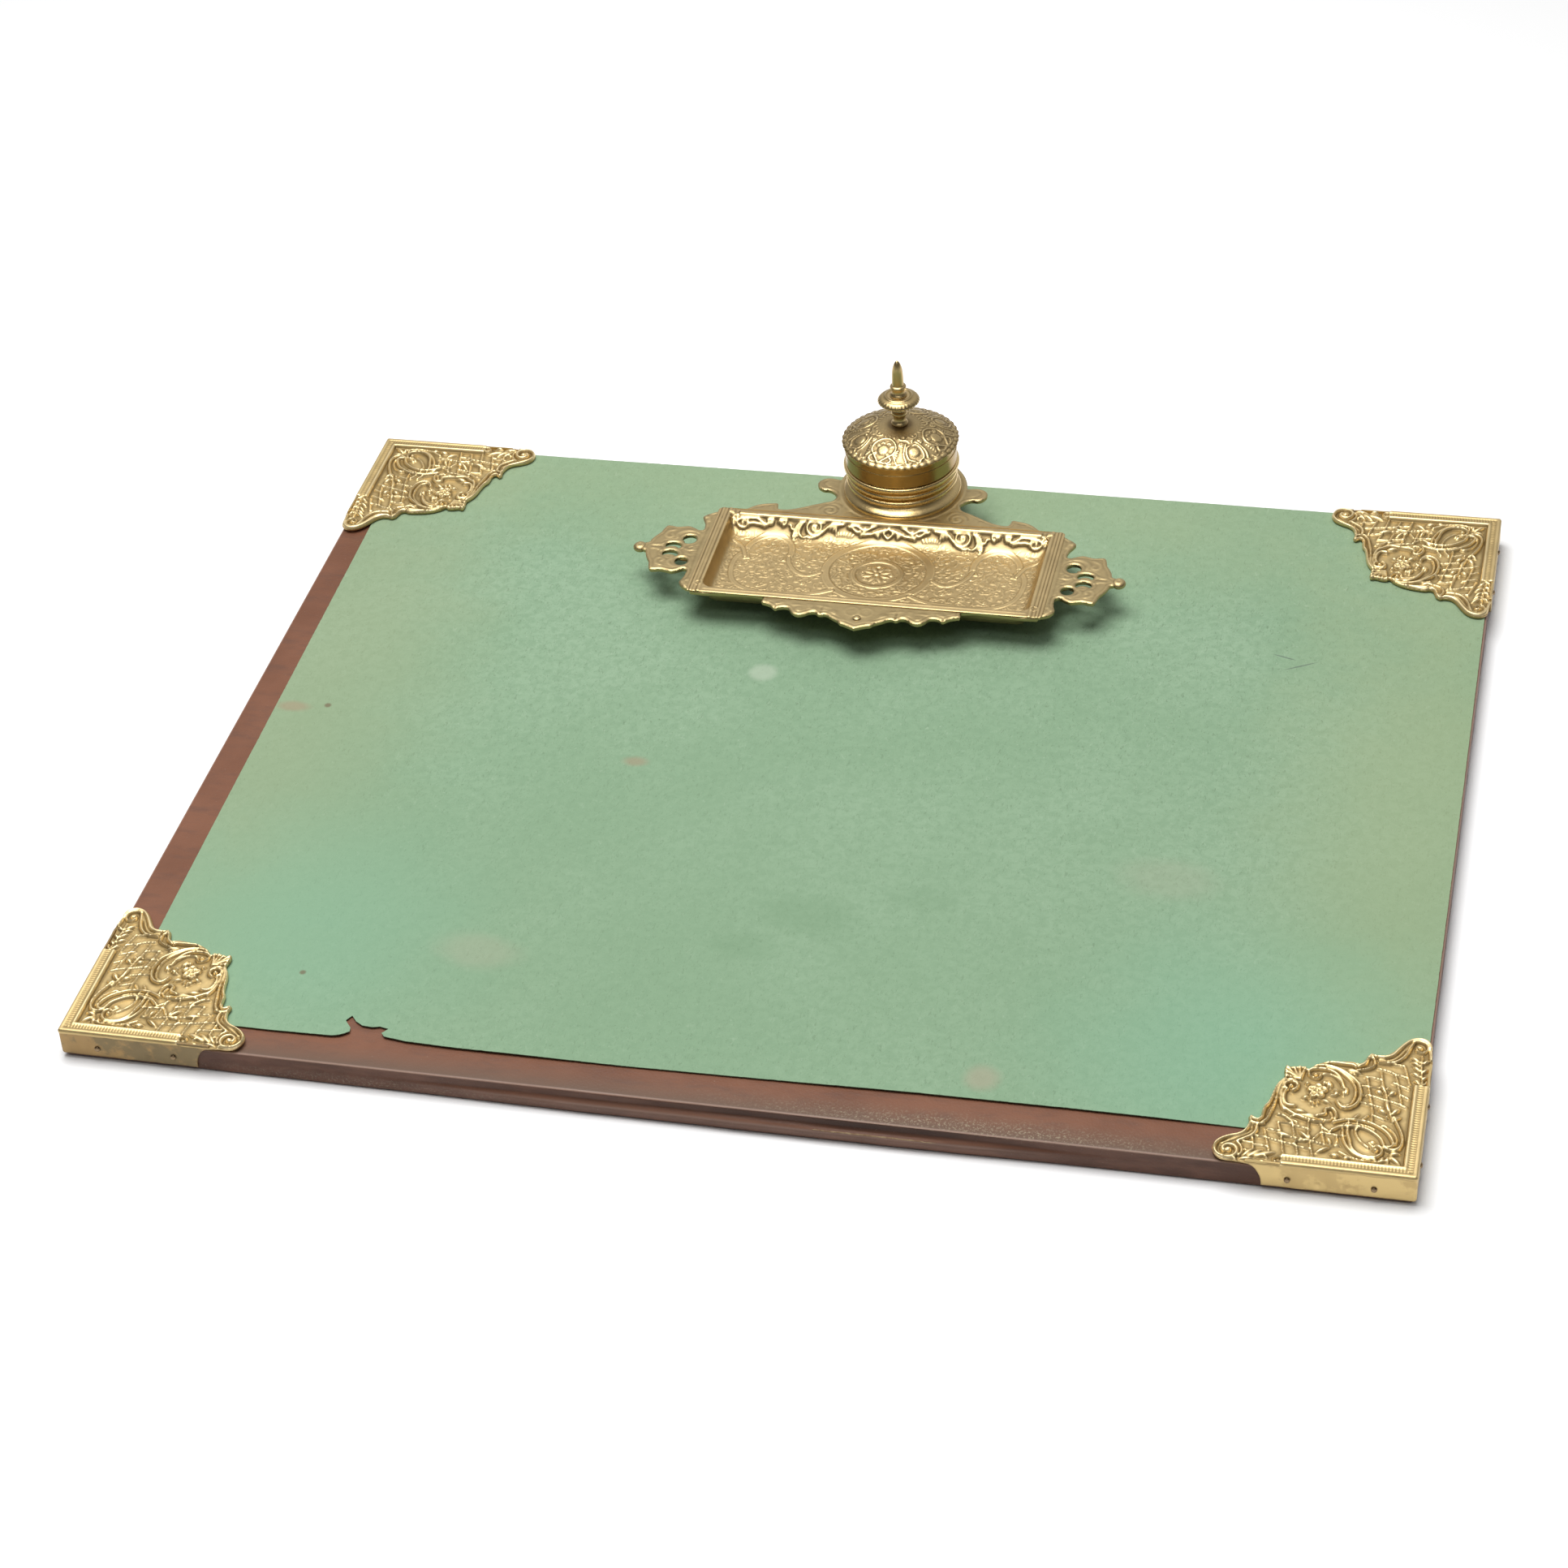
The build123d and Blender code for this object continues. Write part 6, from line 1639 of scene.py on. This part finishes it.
def dome_surface():
    g = 0.34
    R = Relief(np.arange(-29.2, 29.3, g), np.arange(-29.2, 29.3, g))
    X, Y = R.X, R.Y
    rr = np.hypot(X, Y)
    th = np.arctan2(Y, X)
    edge = 27.85 - 0.42 * (1 - np.abs(np.sin(th * 22 + 0.6 * np.sin(th * 5))))
    D = edge - rr
    z0 = 57.8 + 8.9 * (1 - (np.minimum(rr, 28) / 28.0) ** 2.2) - 0.55

    def at(a, r):
        a = math.radians(a)
        return (r * math.cos(a), r * math.sin(a))
    for k in range(8):
        a = -104 + 45 * k
        if k % 2 == 0:
            # a plain disc in a drop-shaped frame, small leaves round the disc
            R.dot(at(a, 18.9), 2.6, 0.55, power=0.2)
            frame = [at(a, 25.2), at(a - 6, 23.2), at(a - 15, 20.6), at(a - 19, 17.4), at(a - 13, 13.8), at(a, 12.4),
                     at(a + 13, 13.8), at(a + 19, 17.4), at(a + 15, 20.6), at(a + 6, 23.2), at(a, 25.2)]
            R.ridge(frame, 0.42, 0.7)
            for s in (-1, 1):
                R.spiral(at(a + s * 11.5, 16.9), 1.1, 1.1, a + 90, 0.28, 0.5, 0.4, 0.35, hand=s)
                R.spiral(at(a + s * 9.0, 21.4), 1.0, 1.1, a - 90, 0.28, 0.5, 0.4, 0.35, hand=-s)
                R.ridge([at(a + s * 3, 15.4), at(a + s * 6.5, 14.8), at(a + s * 8, 15.6)], 0.26, 0.5, n=4)
                R.ridge([at(a + s * 2, 25.0), at(a + s * 9, 25.2), at(a + s * 14, 23.8), at(a + s * 12, 22.6)], 0.36, 0.7)
                for j in range(5):
                    b = a + s * (17.5 + 1.0 * j)
                    R.ridge([at(a + s * 15.4, 21.4 - 0.2 * j), at(b + s * 1.5, 23.8 - 1.25 * j)], (0.20, 0.34), (0.45, 0.7), n=3)
        else:
            R.dot(at(a, 20.2), 2.4, 0.5, power=0.2)
            for s in (-1, 1):
                R.ridge([at(a + s * 3, 24.8), at(a + s * 9, 23.6), at(a + s * 11, 20.4), at(a + s * 8, 17.2),
                         at(a + s * 3, 16.6)], 0.34, 0.65)
                R.ridge([at(a + s * 13, 24.6), at(a + s * 15, 21.6), at(a + s * 13.5, 18.4), at(a + s * 9, 15.2)], 0.34, 0.65)
                R.spiral(at(a + s * 17.0, 15.4), 1.4, 1.3, a, 0.30, 0.6, 0.4, 0.4, hand=s)
                R.ridge([at(a + s * 2, 15.0), at(a + s * 8, 13.4), at(a + s * 16, 12.9), at(a + s * 22, 12.0)], 0.28, 0.55)
            R.fan(at(a, 10.8), a - 52, a + 52, 0.5, 3.2, 7, 0.26, 0.55)
    for k in range(32):
        a = -104 + 11.25 * k
        R.leaf(at(a - 2.5, 10.0), at(a + 2.5, 12.0 + 0.5 * (k % 3)), 0.34, 0.5, 0.08)
        R.ridge([at(a - 3, 24.5), at(a - 1, 25.6), at(a + 3.5, 25.3)], 0.30, 0.6, n=4)
    R.H += 0.05 * lumps(X, Y, 1.1, 31)
    H = R.H * smooth01((rr - 6.6) / 1.6)
    flute = 0.18 + 0.40 * np.abs(np.sin(th * 22 + 0.6 * np.sin(th * 5)))
    H = np.maximum(H, np.where(rr > 25.7, flute * smooth01((rr - 25.7) / 0.5), 0))
    cav = (H - blur(H, 6)) * 1.3 - 0.16 * np.exp(-((rr - 4.6) / 1.6) ** 2)
    H = blur(H, 1) * 0.85
    gx, gy = np.gradient(z0, axis=0) / g, np.gradient(z0, axis=1) / g
    n = 1 / np.sqrt(1 + gx ** 2 + gy ** 2)
    Z = z0 + n * H - 0.5 * (1 - np.clip(D / 0.6, 0, 1)) ** 2
    return X - gx * n * H * 0.7, Y - gy * n * H * 0.7, Z, D, cav


DX, DY, DZ, D, cav = dome_surface()


def dome_under(x, y):
    r = np.hypot(x, y)
    return np.where(r < 24.2, 57.8 + 8.9 * (1 - (np.minimum(r, 28) / 28.0) ** 2.2) - 1.75, 57.6)


dome = cast("lid_dome_chased", DX, DY, DZ, D, lambda x, y, z: (WX + x, WY + y, z), M_DOME, "lid",
            [(0.10, 57.9), (0.05, 57.62), (-0.8, 57.6)], bottom=dome_under, cav=cav, angle=55, extra=1.6)
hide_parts("lid_dome")

stem_prof = [(0, 66.3), (3.9, 66.3), (4.0, 66.75), (4.05, 67.1), (3.8, 67.55), (3.4, 68.0), (3.05, 68.7), (2.9, 69.4),
             (2.88, 70.1), (3.0, 70.75), (3.3, 71.2), (3.7, 71.6), (3.86, 72.1), (3.84, 72.7), (3.6, 73.2), (3.1, 73.6),
             (2.85, 74.2), (2.78, 75.0), (2.82, 76.0), (3.05, 77.0), (3.5, 77.8), (4.2, 78.5), (4.5, 78.82), (0, 78.82)]
ob = lathe("finial_stem_turned", stem_prof, WX, WY, M_FINIAL, "lid", 72, 3)
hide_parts("finial_stem")
disc_prof = [(0, 78.84), (4.4, 78.84), (6.4, 78.86), (8.2, 78.88), (9.3, 78.9), (9.9, 79.05), (10.08, 79.4), (9.95, 79.85),
             (9.55, 80.4), (8.9, 80.95), (8.1, 81.35), (7.3, 81.6), (6.9, 81.8), (6.5, 82.15), (6.1, 82.3), (5.7, 82.1), (5.4, 81.9), (4.4, 82.0), (0, 82.0)]
ob = lathe("finial_disc_fluted", disc_prof, WX, WY, M_FINIAL, "lid", 180, 4,
           wobble=lambda r, z, t: 0.028 * (np.abs(np.sin(t * 16)) - 1) * min(1.0, max(0.0, (r - 8.0) / 1.4)))
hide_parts("finial_disc")
spike_prof = [(0, 82.02), (3.9, 82.02), (4.1, 82.3), (4.1, 82.7), (3.75, 83.2), (3.35, 83.7), (3.15, 84.3), (3.1, 85.0),
              (3.2, 85.6), (3.55, 86.0), (3.85, 86.5), (3.85, 87.0), (3.6, 87.4), (3.0, 87.7), (2.78, 88.0), (2.77, 89.0),
              (2.74, 91.0), (2.65, 93.0), (2.52, 95.0), (2.3, 96.6), (1.95, 98.0), (1.5, 99.2), (1.0, 100.1), (0.5, 100.7), (0, 100.95)]
ob = lathe("finial_spike_turned", spike_prof, WX, WY, M_FINIAL, "lid", 72, 3)
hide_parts("finial_spike")


# ===================================================================== finish
for node, mat in (("pad_board", M_BOARD), ("base_lining", M_LINING), ("corner_pins", M_PIN),
                  ("stand_feet", M_UNDER), ("foot_screws", M_PIN), ("tray_rivets", M_UNDER),
                  ("apron_rivet", M_STAND), ("inkwell_stud", M_PIN), ("inkwell_nut", M_PIN), ("ink_cup", M_STEEL),
                  ("hinge_leaf_well", M_STAND), ("hinge_pin", M_TURNED), ("hinge_leaf_lid", M_STAND),
                  ("finial_nut", M_PIN)):
    ob = frame["nodes"][node]
    for k in range(max(1, len(ob.material_slots))):
        if not ob.material_slots:
            ob.data.materials.append(mat)
        else:
            ob.material_slots[k].link = "OBJECT"
            ob.material_slots[k].material = mat
